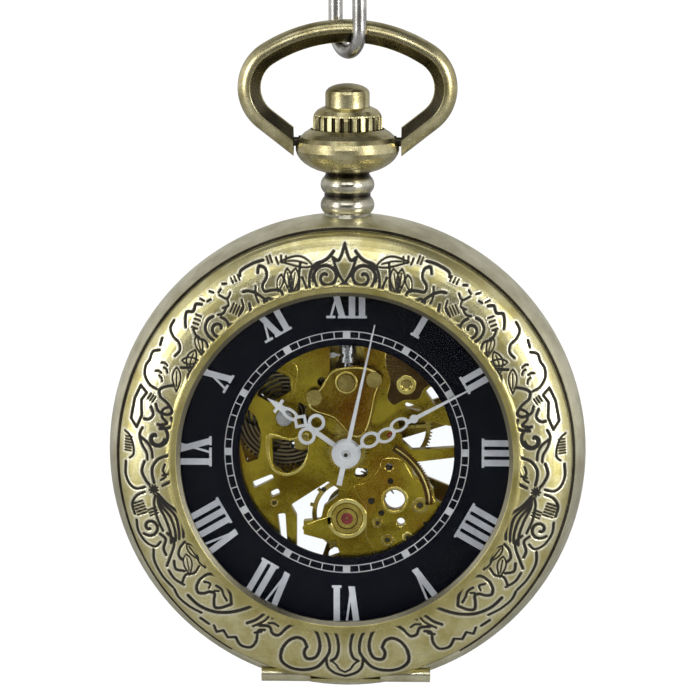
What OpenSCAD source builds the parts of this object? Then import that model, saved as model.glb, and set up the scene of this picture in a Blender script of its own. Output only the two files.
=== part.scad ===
// Hanging pocket watch with a hinged, glazed front cover, a ring dial
// around an openworked movement, and a short swivel above its bow.
// Millimetres. X to the right, Z up, the dial faces -Y.
// The origin is the centre of the bore of the hanging eye.

/* [Case] */
// Outer diameter of the case band
case_d = 47; // [42:0.5:52]
// Front of the front cover, measured from the movement datum
cover_front = 7.4; // [7:0.1:8]
// Flat back of the back cover, measured from the movement datum
back_face = 6.8; // [6.6:0.1:7.4]
// Outer diameter of the front cover
lid_d = 44.4; // [40:0.2:46]
// Diameter of the window in the front cover
window_d = 32.2; // [28:0.2:34]
// Opening angle of the front cover when drawn
lid_open = 0; // [0:5:95]

/* [Pendant] */
// Height of the pendant ball above the centre of the case
bow_pivot_z = 29.9; // [29:0.1:30.5]
// Outer diameter of the pendant ball
ball_d = 10.2; // [9:0.2:11]
// Diameter of the fluted crown
crown_d = 6.8; // [6:0.1:7.4]
// Number of flutes on the crown
crown_flutes = 24; // [18:1:32]
// Diameter of the push button in the crown
button_d = 4.4; // [4:0.1:5]
// Radius of the bow's wire
bow_wire = 1.15; // [0.9:0.05:1.15]
// Radius of the chain link's wire
link_wire = 0.7; // [0.5:0.05:0.8]
// Turn of the chain link about the vertical, from the front plane
link_turn = -57; // [-70:1:-45]
// Height of the hanging eye above the centre of the case
eye_z = 60; // [58:0.5:64]
// Bore radius of the hanging eye
eye_bore = 2; // [1.5:0.1:2.2]

/* [Dial and hands] */
// Aperture diameter of the ring dial
aperture_d = 21.2; // [19:0.2:23]
// Inner radius of the numerals
numeral_r = 13.3; // [12.8:0.1:14]
// Height of the numerals along the radius
numeral_h = 4.3; // [3.5:0.1:4.6]
// Clockwise angle of the hour hand from twelve
hour_angle = 305; // [0:1:360]
// Clockwise angle of the minute hand from twelve
minute_angle = 62; // [0:1:360]
// Clockwise angle of the seconds hand from twelve
seconds_angle = 12.4; // [0:0.1:360]

/* [Movement] */
// Module of the barrel and the centre pinion
barrel_m = 0.14535; // [0.14:0.001:0.15]
// Module of the centre wheel and the fourth wheel
train_m = 0.1; // [0.08:0.01:0.11]
// Module of the third wheel
third_m = 0.10588; // [0.1:0.001:0.11]
// Rim radius of the balance
balance_r = 3.9; // [3.5:0.1:4]

/* [Hidden] */
$fn = 64;
eps = 0.01;
watch_z = -eye_z;
case_r = case_d / 2;
lid_r = lid_d / 2;
window_r = window_d / 2;
aperture_r = aperture_d / 2;

// Case band: front and back edges and its bulge
band_front = -4.2;
band_back = 3.6;
band_mid = (band_front + band_back) / 2;
band_half = (band_back - band_front) / 2;
band_edge_r = case_r - 0.9;
band_bore = 20.6;
case_screw_r = 19.2;
bulge_r = (band_half * band_half + 0.81) / 1.8;
bulge_a = asin(band_half / bulge_r);

// Cover hinge below six o'clock
hinge_y = -4.1;
hinge_z = -21.9;
hinge_r = 0.7;
hinge_bore = 0.36;
hinge_half = 8.3;
lid_knuckle = 3.4;

// Stem axis, and the levels of the movement along Y
stem_y = -0.3;
plate_0 = -1.2;
plate_1 = 0.2;
bridge_0 = 4.25;
bridge_1 = 5.05;
drum_0 = 1.75;
drum_1 = 2.9;
ratchet_0 = 1.2;
ratchet_1 = 1.6;
centre_y = 3.05;
third_y = 3.45;
fourth_y = 3.85;
gear_t = 0.2;
escape_y = 0.5;

// Pivot positions in the front plane: x, z
B = [-6.2, 3.2];
T = 4.5 * [cos(20), sin(20)];
E = 4.4 * [cos(-42), sin(-42)];
BAL = [0, -6.8];
EB = (BAL - E) / norm(BAL - E);
P = E + 2.425 * EB;
W = 2.4 * [cos(75), sin(75)];
C1 = [0, 8.256];
CLICK = B + 6.35 * [cos(150), sin(150)];
YOKE = [-3.6, 9];

// Bow: a flat oval of one top arc and two side arcs
bow_top_z = 26.9;
bow_top_r = 14.5;
bow_side = [5.75, bow_top_z + 8.905];
bow_side_r = 3.9;
bow_tangent = atan2(8.905, 5.75);
bow_low = -52;
// Its ends are cut upright beside the ball and turn on two pins
bow_cut = 5.3;
pin_z = bow_pivot_z + 0.6;

// Chain link and swivel
link_r = 2.3;
link_low = 41.65;
link_high = 45.4;
bar_z = 46.3;
bar_r = 0.6;
bar_half = 2.7;
barrel_low = 49.6;
barrel_high = 52;

gold = [0.62, 0.52, 0.3];
bronze = [0.5, 0.45, 0.33];
steel = [0.72, 0.72, 0.7];
black = [0.05, 0.05, 0.06];
ruby = [0.65, 0.05, 0.12];
glass = [0.8, 0.88, 0.9, 0.3];

// ---- helpers ----

function polar(r, a) = [r * cos(a), r * sin(a)];

function arc(c, r, a0, a1, n) = [
  for (i = [0 : n]) c + polar(r, a0 + (a1 - a0) * i / n)
];

// Direction of the line from one pivot to another
function heading(p, q) = atan2(q[1] - p[1], q[0] - p[0]);

// The swivel and the link hang straight down from the eye
module hung() {
  translate([0, 0, watch_z])
    children();
}

// Bow and watch are drawn about the movement datum, with the stem below the eye
module placed() {
  translate([0, -stem_y, watch_z])
    children();
}

// A front-plane drawing, as thick as from y0 to y1
module slab(y0, y1) {
  translate([0, y1, 0])
    rotate([90, 0, 0])
      linear_extrude(height = y1 - y0)
        children();
}

// A profile of radius and depth, turned about the watch's own axis
module turned() {
  rotate([-90, 0, 0])
    rotate_extrude()
      children();
}

module post(p, y0, y1, r) {
  translate([p[0], y1, p[1]])
    rotate([90, 0, 0])
      cylinder(h = y1 - y0, r = r);
}

// A cylinder on the stem axis
module on_stem(z0, z1, r) {
  translate([0, stem_y, z0])
    cylinder(h = z1 - z0, r = r);
}

module across(x0, x1, y, z, r) {
  translate([x0, y, z])
    rotate([0, 90, 0])
      cylinder(h = x1 - x0, r = r);
}

module ring2d(ro, ri) {
  difference() {
    circle(ro);
    circle(ri);
  }
}

module at(p) {
  translate([p[0], p[1]])
    children();
}

// Teeth as trapezoids: n teeth of module m, one centred at angle a
module gear2d(n, m, a) {
  root = m * (n / 2 - 1.2);
  tip = m * (n / 2 + 0.9);
  s = 360 / n;
  polygon([
    for (i = [0 : n - 1])
      for (q = [[-0.3, root], [-0.11, tip], [0.11, tip], [0.3, root]])
        polar(q[1], a + s * (i + q[0]))
  ]);
}

module arms2d(count, r0, r1, w, a) {
  for (i = [0 : count - 1])
    rotate(a + 360 / count * i)
      translate([r0, -w / 2])
        square([r1 - r0, w]);
}

// A spoked wheel: toothed rim, hub and arms
module wheel2d(n, m, a, rim, hub, arms, w) {
  difference() {
    gear2d(n, m, a);
    circle(m * (n / 2 - 1.2) - rim);
  }
  circle(hub);
  arms2d(arms, hub * 0.5, m * (n / 2 - 1.2) - rim * 0.5, w, a + 20);
}

// A straight bar with round ends between two points
module bar2d(p, q, w) {
  d = norm(q - p);
  at(p)
    rotate(heading(p, q)) {
      translate([0, -w / 2])
        square([d, w]);
      circle(w / 2);
      translate([d, 0])
        circle(w / 2);
    }
}

// A spiral strip from r0 to r1
function spiral(r0, r1, turns, n) = [
  for (i = [0 : n])
    polar(r0 + (r1 - r0) * i / n, 360 * turns * i / n)
];

module spiral2d(r0, r1, turns, t, n) {
  polygon(concat(
    spiral(r0, r1, turns, n),
    [for (i = [n : -1 : 0])
      polar(r0 + t + (r1 - r0) * i / n, 360 * turns * i / n)]
  ));
}

// ---- chain and bow ----

module hanging_eye() {
  color(steel) {
    difference() {
      rotate([90, 0, 0])
        translate([0, 0, -0.8])
          cylinder(h = 1.6, r = 3.3);
      rotate([90, 0, 0])
        translate([0, 0, -1])
          cylinder(h = 2, r = eye_bore);
    }
    hung() {
      translate([0, 0, barrel_low - 0.6])
        cylinder(h = eye_z - 3 - barrel_low + 0.6, r = 0.6);
      translate([0, 0, barrel_low - 0.65])
        cylinder(h = 0.6, r = 1.15);
      translate([0, 0, barrel_high + 0.05])
        cylinder(h = 0.6, r = 1.15);
      translate([0, 0, eye_z - 3.9])
        cylinder(h = 0.9, r1 = 0.6, r2 = 1.1);
    }
  }
}

module swivel_stirrup() {
  color(steel)
    hung()
      rotate([0, 0, link_turn + 90])
        difference() {
          union() {
            translate([-bar_half, 0, bar_z])
              rotate([0, 90, 0])
                cylinder(h = 2 * bar_half, r = bar_r);
            for (s = [-1, 1]) {
              translate([s * bar_half, 0, bar_z])
                cylinder(h = 4.1, r = bar_r);
              translate([s * bar_half, 0, bar_z])
                sphere(r = bar_r);
              translate([s * bar_half, 0, bar_z + 4.1])
                sphere(r = bar_r);
            }
            translate([-bar_half, 0, bar_z + 4.1])
              rotate([0, 90, 0])
                cylinder(h = 2 * bar_half, r = bar_r);
            translate([0, 0, barrel_low])
              cylinder(h = barrel_high - barrel_low, r = 1.5);
            translate([0, 0, barrel_low + 0.9])
              cylinder(h = 0.5, r = 1.7);
          }
          translate([0, 0, barrel_low - 1])
            cylinder(h = 5, r = 0.65);
        }
}

module link_end(z, a) {
  translate([0, 0, z])
    rotate([90, 0, 0])
      rotate([0, 0, a])
        rotate_extrude(angle = 180)
          translate([link_r, 0])
            circle(link_wire);
}

module chain_link() {
  color(steel)
    hung()
      rotate([0, 0, link_turn]) {
        link_end(link_low, 180);
        link_end(link_high, 0);
        for (s = [-1, 1])
          translate([s * link_r, 0, link_low])
            cylinder(h = link_high - link_low, r = link_wire);
      }
}

module wire_arc(c, r, a0, a1) {
  translate([c[0], 0, c[1]])
    rotate([90, 0, 0])
      rotate([0, 0, a0])
        rotate_extrude(angle = a1 - a0)
          translate([r, 0])
            circle(bow_wire);
}

// From the side arc's low end the wire runs straight to the ball
module bow_half() {
  end = bow_side + polar(bow_side_r, bow_low);
  wire_arc(bow_side, bow_side_r, bow_low, bow_tangent);
  difference() {
    translate([end[0], 0, end[1]]) {
      sphere(r = bow_wire + 0.03);
      rotate([0, 180 - bow_low, 0])
        cylinder(h = 5, r = bow_wire - 0.02);
    }
    translate([bow_cut - 3, -2, bow_pivot_z - 3])
      cube([3, 4, 8]);
    across(bow_cut - 0.5, 6.35, 0, pin_z, 0.5);
  }
}

module bow() {
  color(bronze)
    placed()
      translate([0, stem_y, 0]) {
        wire_arc([0, bow_top_z], bow_top_r, bow_tangent, 180 - bow_tangent);
        for (a = [bow_tangent, 180 - bow_tangent])
          translate([bow_top_r * cos(a), 0, bow_top_z + bow_top_r * sin(a)])
            rotate([0, -a, 0])
              cylinder(h = 0.5, r = bow_wire + 0.03, center = true);
        bow_half();
        mirror([1, 0, 0])
          bow_half();
      }
}

module bow_pins() {
  color(steel)
    placed()
      for (s = [0, 1])
        mirror([s, 0, 0]) {
          across(3.9, 4.8, stem_y, pin_z, 0.6);
          across(4.8 - eps, 6.25, stem_y, pin_z, 0.45);
        }
}

// ---- pendant and crown ----

module pendant_ball() {
  a = ball_d / 2;
  color(bronze)
    placed()
      difference() {
        translate([0, stem_y, bow_pivot_z])
          rotate_extrude()
            polygon(concat(
              [[0, -2.55]],
              [for (i = [-75 : 10 : 75]) [0.4 + (a - 0.4) * cos(i), 2.6 * sin(i)]],
              [[0, 2.55]]
            ));
        on_stem(20, 36, 1.3);
        on_stem(bow_pivot_z + 0.9, 36, crown_d / 2 + 0.25);
        across(-9, 9, stem_y, pin_z, 0.6);
      }
}

module pendant_neck() {
  color(bronze)
    placed()
      difference() {
        translate([0, stem_y, 0])
          rotate_extrude()
            polygon(concat(
              [[0, 22.4], [2.9, 22.4], [2.75, 22.75]],
              arc([1.6, 24.3], 1.05, -50, 50, 8),
              arc([1.6, 26.3], 1.05, -50, 50, 8),
              [[2.1, bow_pivot_z - 2.43], [1.6, bow_pivot_z - 2.53], [0, bow_pivot_z - 2.57]]
            ));
        on_stem(20, 36, 1.3);
        turned()
          polygon([
            [0, -9], [band_edge_r - 0.4, -9], [band_edge_r - 0.4, band_front],
            for (q = arc([case_r - bulge_r, band_mid], bulge_r, -bulge_a, bulge_a, 24)) q,
            [band_edge_r - 0.4, band_back], [band_edge_r - 0.4, 9], [0, 9]
          ]);
      }
}

module crown() {
  r = crown_d / 2;
  z0 = bow_pivot_z + 1;
  color(bronze)
    placed()
      difference() {
        translate([0, stem_y, 0])
          rotate_extrude()
            polygon([
              [0, z0], [r - 0.35, z0], [r, z0 + 0.3], [r, z0 + 1.9],
              [r - 0.12, z0 + 2.35], [r - 0.45, z0 + 2.75], [r - 0.95, z0 + 3],
              [button_d / 2 + 0.05, z0 + 3.05], [0, z0 + 3.05]
            ]);
        on_stem(z0 - 1, z0 + 4, 0.62);
        on_stem(z0 + 1, z0 + 4, button_d / 2 + 0.04);
        for (i = [0 : crown_flutes - 1])
          translate([0, stem_y, 0])
            rotate([0, 0, 360 / crown_flutes * (i + 0.5)])
              translate([r + 0.1, 0, z0 - 1])
                cylinder(h = 3.3, r = 0.28);
      }
}

module case_stem() {
  color(steel)
    placed()
      difference() {
        union() {
          on_stem(17.6, bow_pivot_z + 2, 0.62);
          on_stem(bow_pivot_z - 0.6, bow_pivot_z + 0.95, 1);
          translate([-0.28, stem_y - 0.28, 15.4])
            cube([0.56, 0.56, 2.3]);
        }
        on_stem(bow_pivot_z + 0.6, bow_pivot_z + 3, 0.34);
      }
}

module crown_button() {
  r = button_d / 2;
  z1 = bow_pivot_z + 3.9;
  color(bronze)
    placed() {
      translate([0, stem_y, 0])
        rotate_extrude()
          polygon(concat(
            [[0, z1], [r - 0.02, z1], [r - 0.02, z1 + 1.5]],
            [for (i = [0 : 15 : 90]) [(r - 0.3) * cos(i) + 0.28 * cos(i), z1 + 1.5 + 0.95 * sin(i)]]
          ));
      on_stem(bow_pivot_z + 1.35, z1 + eps, 0.3);
    }
}

module button_spring() {
  color(steel)
    placed()
      for (i = [0 : 4])
        translate([0, stem_y, bow_pivot_z + 2.14 + 0.4 * i])
          rotate_extrude()
            translate([1.3, 0])
              circle(r = 0.13);
}

module lid_catch() {
  color(steel)
    placed()
      difference() {
        union() {
          slab(band_front + 0.4, band_front + 0.8)
            intersection() {
              ring2d(20.5, 19.95);
              translate([-3, 18])
                square([6, 3]);
            }
          translate([-0.6, -4.95, 20.15])
            cube([1.2, 1.2, 0.3]);
          translate([-0.6, -4.95, 20.4])
            cube([1.2, 0.2, 0.34]);
        }
        on_stem(15, 24, 1.3);
      }
}

// ---- case ----

module band_profile() {
  polygon(concat(
    [[band_bore, band_front], [band_edge_r, band_front]],
    arc([case_r - bulge_r, band_mid], bulge_r, -bulge_a, bulge_a, 24),
    [[band_bore, band_back]]
  ));
}

module case_middle() {
  color(bronze)
    placed()
      difference() {
        turned()
          band_profile();
        on_stem(18, 26, 1.35);
        translate([-hinge_half - 0.5, band_front - 1, -24])
          cube([2 * hinge_half + 1, 1.95, 2.85]);
      }
}

module hinge_tube(x0, x1) {
  difference() {
    across(x0, x1, hinge_y, hinge_z, hinge_r);
    across(x0 - 1, x1 + 1, hinge_y, hinge_z, hinge_bore);
  }
}

module case_hinge() {
  color(bronze)
    placed()
      for (s = [0, 1])
        mirror([s, 0, 0])
          difference() {
            union() {
              across(lid_knuckle + 0.08, hinge_half, hinge_y, hinge_z, hinge_r);
              translate([lid_knuckle + 0.08, hinge_y, hinge_z - 0.5])
                cube([hinge_half - lid_knuckle - 0.08, band_front + 0.95 - hinge_y, 1]);
            }
            across(0, 12, hinge_y, hinge_z, hinge_bore);
          }
}

module hinge_pin() {
  color(steel)
    placed() {
      across(-hinge_half + 0.1, hinge_half - 0.1, hinge_y, hinge_z, hinge_bore - 0.03);
    }
}

module front_lid() {
  y0 = -cover_front;
  color(gold)
    placed()
      difference() {
        union() {
          turned()
            polygon([
              [window_r, y0 + 0.35], [window_r + 0.45, y0], [window_r + 0.9, y0],
              [window_r + 1.3, y0 + 0.18], [18.6, y0 + 0.3], [19.8, y0 + 0.55],
              [20.9, y0 + 0.95], [21.6, y0 + 1.35], [lid_r - 0.12, y0 + 1.8],
              [lid_r, y0 + 2.2], [lid_r, band_front - 0.08],
              [21.35, band_front - 0.08], [21.35, y0 + 2.1], [20.4, y0 + 1.55],
              [19, y0 + 1.3], [17.5, y0 + 1.2], [17.5, y0 + 1.5],
              [16.95, y0 + 1.5], [16.95, y0 + 0.95], [window_r, y0 + 0.95]
            ]);
          across(-lid_knuckle, lid_knuckle, hinge_y, hinge_z, hinge_r);
          translate([-lid_knuckle, -5.2, hinge_z - 0.25])
            cube([2 * lid_knuckle, 0.9, 0.5]);
          translate([-0.8, band_front - 0.5, 20.7])
            cube([1.6, 0.25, 0.75]);
        }
        for (s = [0, 1])
          mirror([s, 0, 0])
            across(lid_knuckle, 11, hinge_y, hinge_z, hinge_r + 0.1);
        across(-12, 12, hinge_y, hinge_z, hinge_bore);
        on_stem(21, 26, 3);
      }
}

module lid_glass() {
  y0 = -cover_front;
  color(glass)
    placed()
      turned()
        polygon([
          [0, y0 + 0.97], [16.9, y0 + 0.97], [16.9, y0 + 1.6], [0, y0 + 1.6]
        ]);
}

module inner_bezel() {
  color(gold)
    placed()
      difference() {
        turned()
          polygon([
            [20.05, -5.3], [20.9, -5.3], [21.1, -5.1], [21.1, band_front - 0.02],
            [20.55, band_front - 0.02], [20.55, -3.95], [19.9, -3.95],
            [19.9, -4.25], [19.4, -4.25], [19.4, -4.6], [20.05, -4.6]
          ]);
        translate([-1, -6, 19])
          cube([2, 3, 3]);
      }
}

module crystal() {
  color(glass)
    placed()
      turned()
        polygon([[0, -5.25], [20.02, -5.25], [20.02, -4.62], [0, -4.62]]);
}

module back_cover() {
  color(gold)
    placed()
      turned()
        polygon([
          [20.62, band_back + 0.03], [22.5, band_back + 0.03], [22.55, 4.4],
          [22.2, 5.2], [21.5, 5.95], [20.4, 6.5], [19.2, back_face],
          [17.4, back_face], [17.4, 5.95], [16.7, 5.95], [16.7, 5.6],
          [19.4, 5.6], [20.1, 5.1], [20.1, 3.1], [20.57, 3.1], [20.57, band_back + 0.03]
        ]);
}

module back_glass() {
  color(glass)
    placed()
      turned()
        polygon([[0, 5.97], [17.38, 5.97], [17.38, back_face], [0, back_face]]);
}

// ---- dial ----

module dial_ring() {
  color(black)
    placed()
      turned()
        polygon([
          [aperture_r, -1.85], [aperture_r, -2.2], [aperture_r + 0.1, -2.3],
          [19.8, -2.3], [19.8, -1.85]
        ]);
}

module minute_track() {
  color(steel)
    placed()
      slab(-2.37, -2.3) {
        ring2d(12.05, 11.97);
        ring2d(11.36, 11.28);
        for (i = [0 : 59])
          rotate(6 * i)
            translate([11.32, i % 5 == 0 ? -0.36 : -0.045])
              square([0.69, i % 5 == 0 ? 0.72 : 0.09]);
      }
}

// Strokes of the letters, in stroke widths from the letter's left edge
stroke = 0.62;
thin = 0.22;

module serif(x, w) {
  translate([x - w / 2, 0])
    square([w, 0.24]);
  translate([x - w / 2, numeral_h - 0.24])
    square([w, 0.24]);
}

module slanted(x0, x1, w) {
  polygon([
    [x0 - w / 2, 0.1], [x0 + w / 2, 0.1],
    [x1 + w / 2, numeral_h - 0.1], [x1 - w / 2, numeral_h - 0.1]
  ]);
}

function letter_w(c) = c == "I" ? 0.98 : c == "V" ? 1.95 : 2.05;

module letter(c) {
  w = letter_w(c);
  if (c == "I") {
    translate([w / 2 - stroke / 2, 0])
      square([stroke, numeral_h]);
    serif(w / 2, w - 0.04);
  }
  if (c == "V") {
    slanted(w / 2, 0.42, stroke);
    slanted(w / 2, w - 0.42, thin);
    translate([0, numeral_h - 0.24])
      square([0.9, 0.24]);
    translate([w - 0.85, numeral_h - 0.24])
      square([0.8, 0.24]);
  }
  if (c == "X") {
    slanted(w - 0.46, 0.44, stroke);
    slanted(0.44, w - 0.46, thin);
    for (x = [0.46, w - 0.46])
      serif(x, 0.88);
  }
}

function text_w(s, i) = i >= len(s) ? 0 : letter_w(s[i]) + text_w(s, i + 1);

module numeral(s) {
  for (i = [0 : len(s) - 1])
    translate([text_w(s, 0) / -2 + text_w(s, 0) - text_w(s, i), 0])
      letter(s[i]);
}

HOURS = ["XII", "I", "II", "III", "IIII", "V", "VI", "VII", "VIII", "IX", "X", "XI"];

module dial_numerals() {
  color(steel)
    placed()
      slab(-2.4, -2.3)
        for (h = [0 : 11])
          rotate(-30 * h)
            translate([0, numeral_r])
              numeral(HOURS[h]);
}

module movement_ring() {
  color(gold)
    placed()
      difference() {
        turned()
          polygon([
            [18.5, plate_0], [18.5, -1.5], [17.6, -1.5], [17.6, -1.84],
            [20.5, -1.84], [20.5, 2.9], [18.5, 2.9]
          ]);
        on_stem(17, 24, 1.4);
        for (a = [35, 145, 215, 325])
          post(polar(case_screw_r, a), 1.5, 3, 0.45);
      }
}

module case_screws() {
  color(steel)
    placed()
      for (a = [35, 145, 215, 325])
        difference() {
          union() {
            post(polar(case_screw_r, a), 1.6, 2.9, 0.43);
            post(polar(case_screw_r, a), 2.9, 3.25, 0.72);
          }
          translate([case_screw_r * cos(a) - 0.9, 3.12, case_screw_r * sin(a) - 0.1])
            cube([1.8, 0.3, 0.2]);
        }
}

// ---- plates and bridges ----

// Openings cut through the main plate, as outlines in the front plane
PLATE_CUTS = [
  [[-1.9, -3.1], [-0.75, -3.9], [-0.9, -4.5], [-2.3, -5.6], [-2.6, -6.9], [-4.3, -7.1],
   [-4.3, -8.4], [-2.4, -8.9], [-1.1, -9.1], [-0.7, -10.4], [-4.2, -11.6], [-5, -9.8],
   [-5, -6.6], [-5.6, -5.5]],
  [[-6.9, -6.4], [-6.1, -6.3], [-5.9, -9.6], [-6.5, -9.3]],
  [[-9.4, -3.2], [-7.4, -2.4], [-7.2, -2.9], [-9.2, -3.9]],
  [[-7.6, -4.2], [-6.8, -3.8], [-6.6, -4.4], [-7.5, -4.8]],
  [[7.7, 5.9], [8.3, 6.5], [9.5, 4.6], [8.9, 4.2]],
  [[5.7, 4.9], [7.4, 4.3], [7.2, 3.9], [5.7, 4.3]],
  [[4.9, 3.2], [7.3, 3.1], [10.6, 2.4], [11.2, 0.4], [8.4, 0.2], [6.4, 0.1], [5.5, 0.9]],
  [[6.2, -1.2], [10.9, -0.6], [10.8, -2.6], [9.6, -5.4], [8.7, -4.9], [8.5, -3.8],
   [7.6, -2.9], [6.6, -2.4]],
  [[0.9, -1.75], [2.1, -1.8], [1.9, -2.7], [0.7, -2.6]],
  [[-8.9, 5.4], [-8.6, 7], [-7.2, 7.9], [-5.7, 7.3], [-5.5, 5.9], [-6.6, 5.2], [-7.6, 4.7]],
  [[-9.9, 4.2], [-8.9, 3.2], [-8.4, 1.2], [-8.8, -0.9], [-9.9, -1.3], [-10.5, 0.6], [-10.6, 2.6]],
  [[-7.4, 1.2], [-5.6, 0.9], [-4.1, 1.4], [-3.75, 0.2], [-4.4, -1.5], [-6, -2.3], [-7.3, -1.4]],
  [[-4.9, 4.9], [-3.9, 4.3], [-3.75, 3], [-4.4, 2.3], [-4.7, 3.4]],
  [[-3.6, 11.6], [-6.4, 12.4], [-9, 10.6], [-8.4, 9.8], [-5.4, 10]],
  [[4.2, 12.2], [8.4, 10.6], [10.4, 8], [9.2, 7.4], [6, 9.6], [3.6, 10.6]]
];

// Round windows through the main plate: x, z, radius
PLATE_HOLES = [
  [-2.45, 6.8, 0.5], [4.15, -1.6, 0.35], [2.1, -4.1 + 8.6, 0.6],
  [5.3, -7.1, 0.4], [4.7, -4.9, 1]
];

module rounded(d) {
  offset(r = d)
    offset(delta = -d)
      children();
}

module main_plate() {
  color(gold)
    placed()
      difference() {
        union() {
          slab(plate_0, plate_1)
            difference() {
              circle(18.45);
              for (c = PLATE_CUTS)
                rounded(0.2)
                  polygon(c);
              for (h = PLATE_HOLES)
                at(h)
                  circle(h[2]);
              translate([-1.7, 6.3])
                square([3.4, 5.5]);
              translate([-0.75, 11])
                square([1.5, 8]);
            }
          post([W[0], W[1]], -1.85, plate_0 + eps, 0.26);
          post(CLICK, plate_1 - eps, 1.7, 0.27);
          slab(plate_0 - 0.08, plate_0 + eps)
            ring2d(3.4, 3.15);
        }
        for (q = [B, T, E, BAL, P])
          post(q, plate_0 - 1, plate_1 + 1, q == B ? 0.84 : q == [0, -6.8] ? 0.52 : 0.3);
        post([0, 0], plate_0 - 1, plate_1 + 1, 0.42);
        for (q = FEET)
          post(q, plate_0 + 0.3, plate_1 + 1, 0.35);
        on_stem(6, 19, 0.62);
        difference() {
          slab(-0.6, plate_1 + 1)
            polygon([[-5.1, 8.2], [-1.6, 7.6], [-1.6, 11.2], [-4, 11.4], [-5.1, 10.8]]);
          post(YOKE, -1, -0.1, 0.27);
        }
      }
}

// Feet of the bridges: barrel, train, balance cock, pallet bridge
BARREL_FEET = [[-14.3, 4.7], [-9.2, 12.2], [2.8, 13.4]];
TRAIN_FEET = [[13.4, 4.4], [12.2, -6.6]];
COCK_FEET = [[1.6, -14.6], [-2, -14.6]];
PALLET_FEET = [
  P + 2.6 * [EB[1] * -1, EB[0]],
  P - 2.6 * [EB[1] * -1, EB[0]]
];
KEYLESS_FEET = [[-3.2, 5.4], [2.7, 7.2]];
FEET = concat(BARREL_FEET, TRAIN_FEET, COCK_FEET);

module barrel_bridge() {
  color(gold)
    placed()
      difference() {
        union() {
          slab(bridge_0, bridge_1)
            rounded(0.6)
              difference() {
                polygon(concat(
                  arc([0, 0], 17.6, 72, 166, 16),
                  [[-12.5, 1.6]],
                  arc(B, 3.6, 250, 320, 6),
                  [[-1.4, 4.6], [1.8, 5.6], [5.6, 9]]
                ));
                polygon(arc([-4.6, 11.2], 2.6, 0, 350, 24));
                polygon(arc([-11.2, 7], 2, 0, 350, 24));
                at(B)
                  ring2d(3, 1.9);
              }
          slab(bridge_0, bridge_1)
            for (a = [20, 140, 260])
              at(B)
                rotate(a)
                  translate([1.5, -0.4])
                    square([2, 0.8]);
          for (q = BARREL_FEET)
            post(q, plate_1, bridge_0 + eps, 1.3);
        }
        post(B, bridge_0 - 1, bridge_1 + 1, 0.63);
        for (q = BARREL_FEET)
          post(q, plate_1 - 1, bridge_1 + 1, 0.4);
        for (q = BARREL_FEET)
          post(q, bridge_1 - 0.35, bridge_1 + 1, 0.95);
      }
}

module train_bridge() {
  color(gold)
    placed()
      difference() {
        union() {
          slab(bridge_0, bridge_1)
            rounded(0.5)
              union() {
                bar2d([0, 0], T, 2.6);
                bar2d(T, TRAIN_FEET[0], 2.8);
                bar2d([0, 0], E, 2.2);
                bar2d(E, TRAIN_FEET[1], 2.4);
                bar2d(TRAIN_FEET[0], TRAIN_FEET[1], 3);
                circle(2);
              }
          for (q = TRAIN_FEET)
            post(q, plate_1, bridge_0 + eps, 1.3);
        }
        for (q = [[0, 0], T, E])
          post(q, bridge_0 - 1, bridge_1 + 1, 0.5);
        for (q = TRAIN_FEET)
          post(q, plate_1 - 1, bridge_1 + 1, 0.4);
        for (q = TRAIN_FEET)
          post(q, bridge_1 - 0.35, bridge_1 + 1, 0.95);
      }
}

module balance_cock() {
  color(gold)
    placed()
      difference() {
        union() {
          slab(bridge_0, bridge_1)
            rounded(0.5)
              union() {
                at(BAL)
                  circle(2.3);
                polygon([[-1.5, -8], [1.5, -8], [3.8, -15.8], [-4.2, -15.8]]);
              }
          for (q = COCK_FEET)
            post(q, plate_1, bridge_0 + eps, 1.4);
        }
        post(BAL, bridge_0 - 1, bridge_1 + 1, 0.6);
        for (q = COCK_FEET)
          post(q, plate_1 - 1, bridge_1 + 1, 0.4);
        for (q = COCK_FEET)
          post(q, bridge_1 - 0.35, bridge_1 + 1, 0.95);
        post([-1.3, -11.4], bridge_0 - 1, bridge_1 + 1, 0.8);
        post([1.3, -11.4], bridge_0 - 1, bridge_1 + 1, 0.8);
      }
}

module pallet_bridge() {
  color(gold)
    placed()
      difference() {
        union() {
          slab(1, 1.4)
            union() {
              bar2d(PALLET_FEET[0], PALLET_FEET[1], 1.2);
              at(P)
                circle(0.8);
            }
          for (q = PALLET_FEET)
            post(q, plate_1, 1 + eps, 0.5);
        }
        post(P, 0.5, 2, 0.14);
      }
}

module keyless_bridge() {
  color(gold)
    placed()
      difference() {
        union() {
          slab(-2.2, -1.9)
            rounded(0.3)
              polygon([
                [-3.9, 4.9], [-3.2, 3.9], [-1.2, 3.2], [0.6, 1.3], [1.9, 1.6], [2.5, 3.4],
                [3, 5.8], [3.6, 7.4], [2.6, 8.3], [0.9, 8.6], [-1.4, 8.2], [-2.6, 6.4]
              ]);
          for (q = KEYLESS_FEET)
            post(q, -1.9 - eps, plate_0, 0.55);
        }
        post(W, -3, -1, 0.26);
        for (q = KEYLESS_FEET)
          post(q, -3, plate_0 + 1, 0.3);
        post([-0.03, 6.9], -3, -1, 0.32);
      }
}

// A slotted screw head over a plain shank
module screw(p, head_y, head_t, head_r, shank_r, shank_y, a, back) {
  y0 = back ? head_y : head_y - head_t;
  y1 = back ? head_y + head_t : head_y;
  difference() {
    union() {
      post(p, y0, y1, head_r);
      post(p, min(shank_y, y0), max(shank_y, y1), shank_r);
    }
    translate([p[0], back ? y1 : y0, p[1]])
      rotate([0, a, 0])
        cube([3 * head_r, head_t * 0.7, 0.2 * head_r + 0.04], center = true);
  }
}

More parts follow.
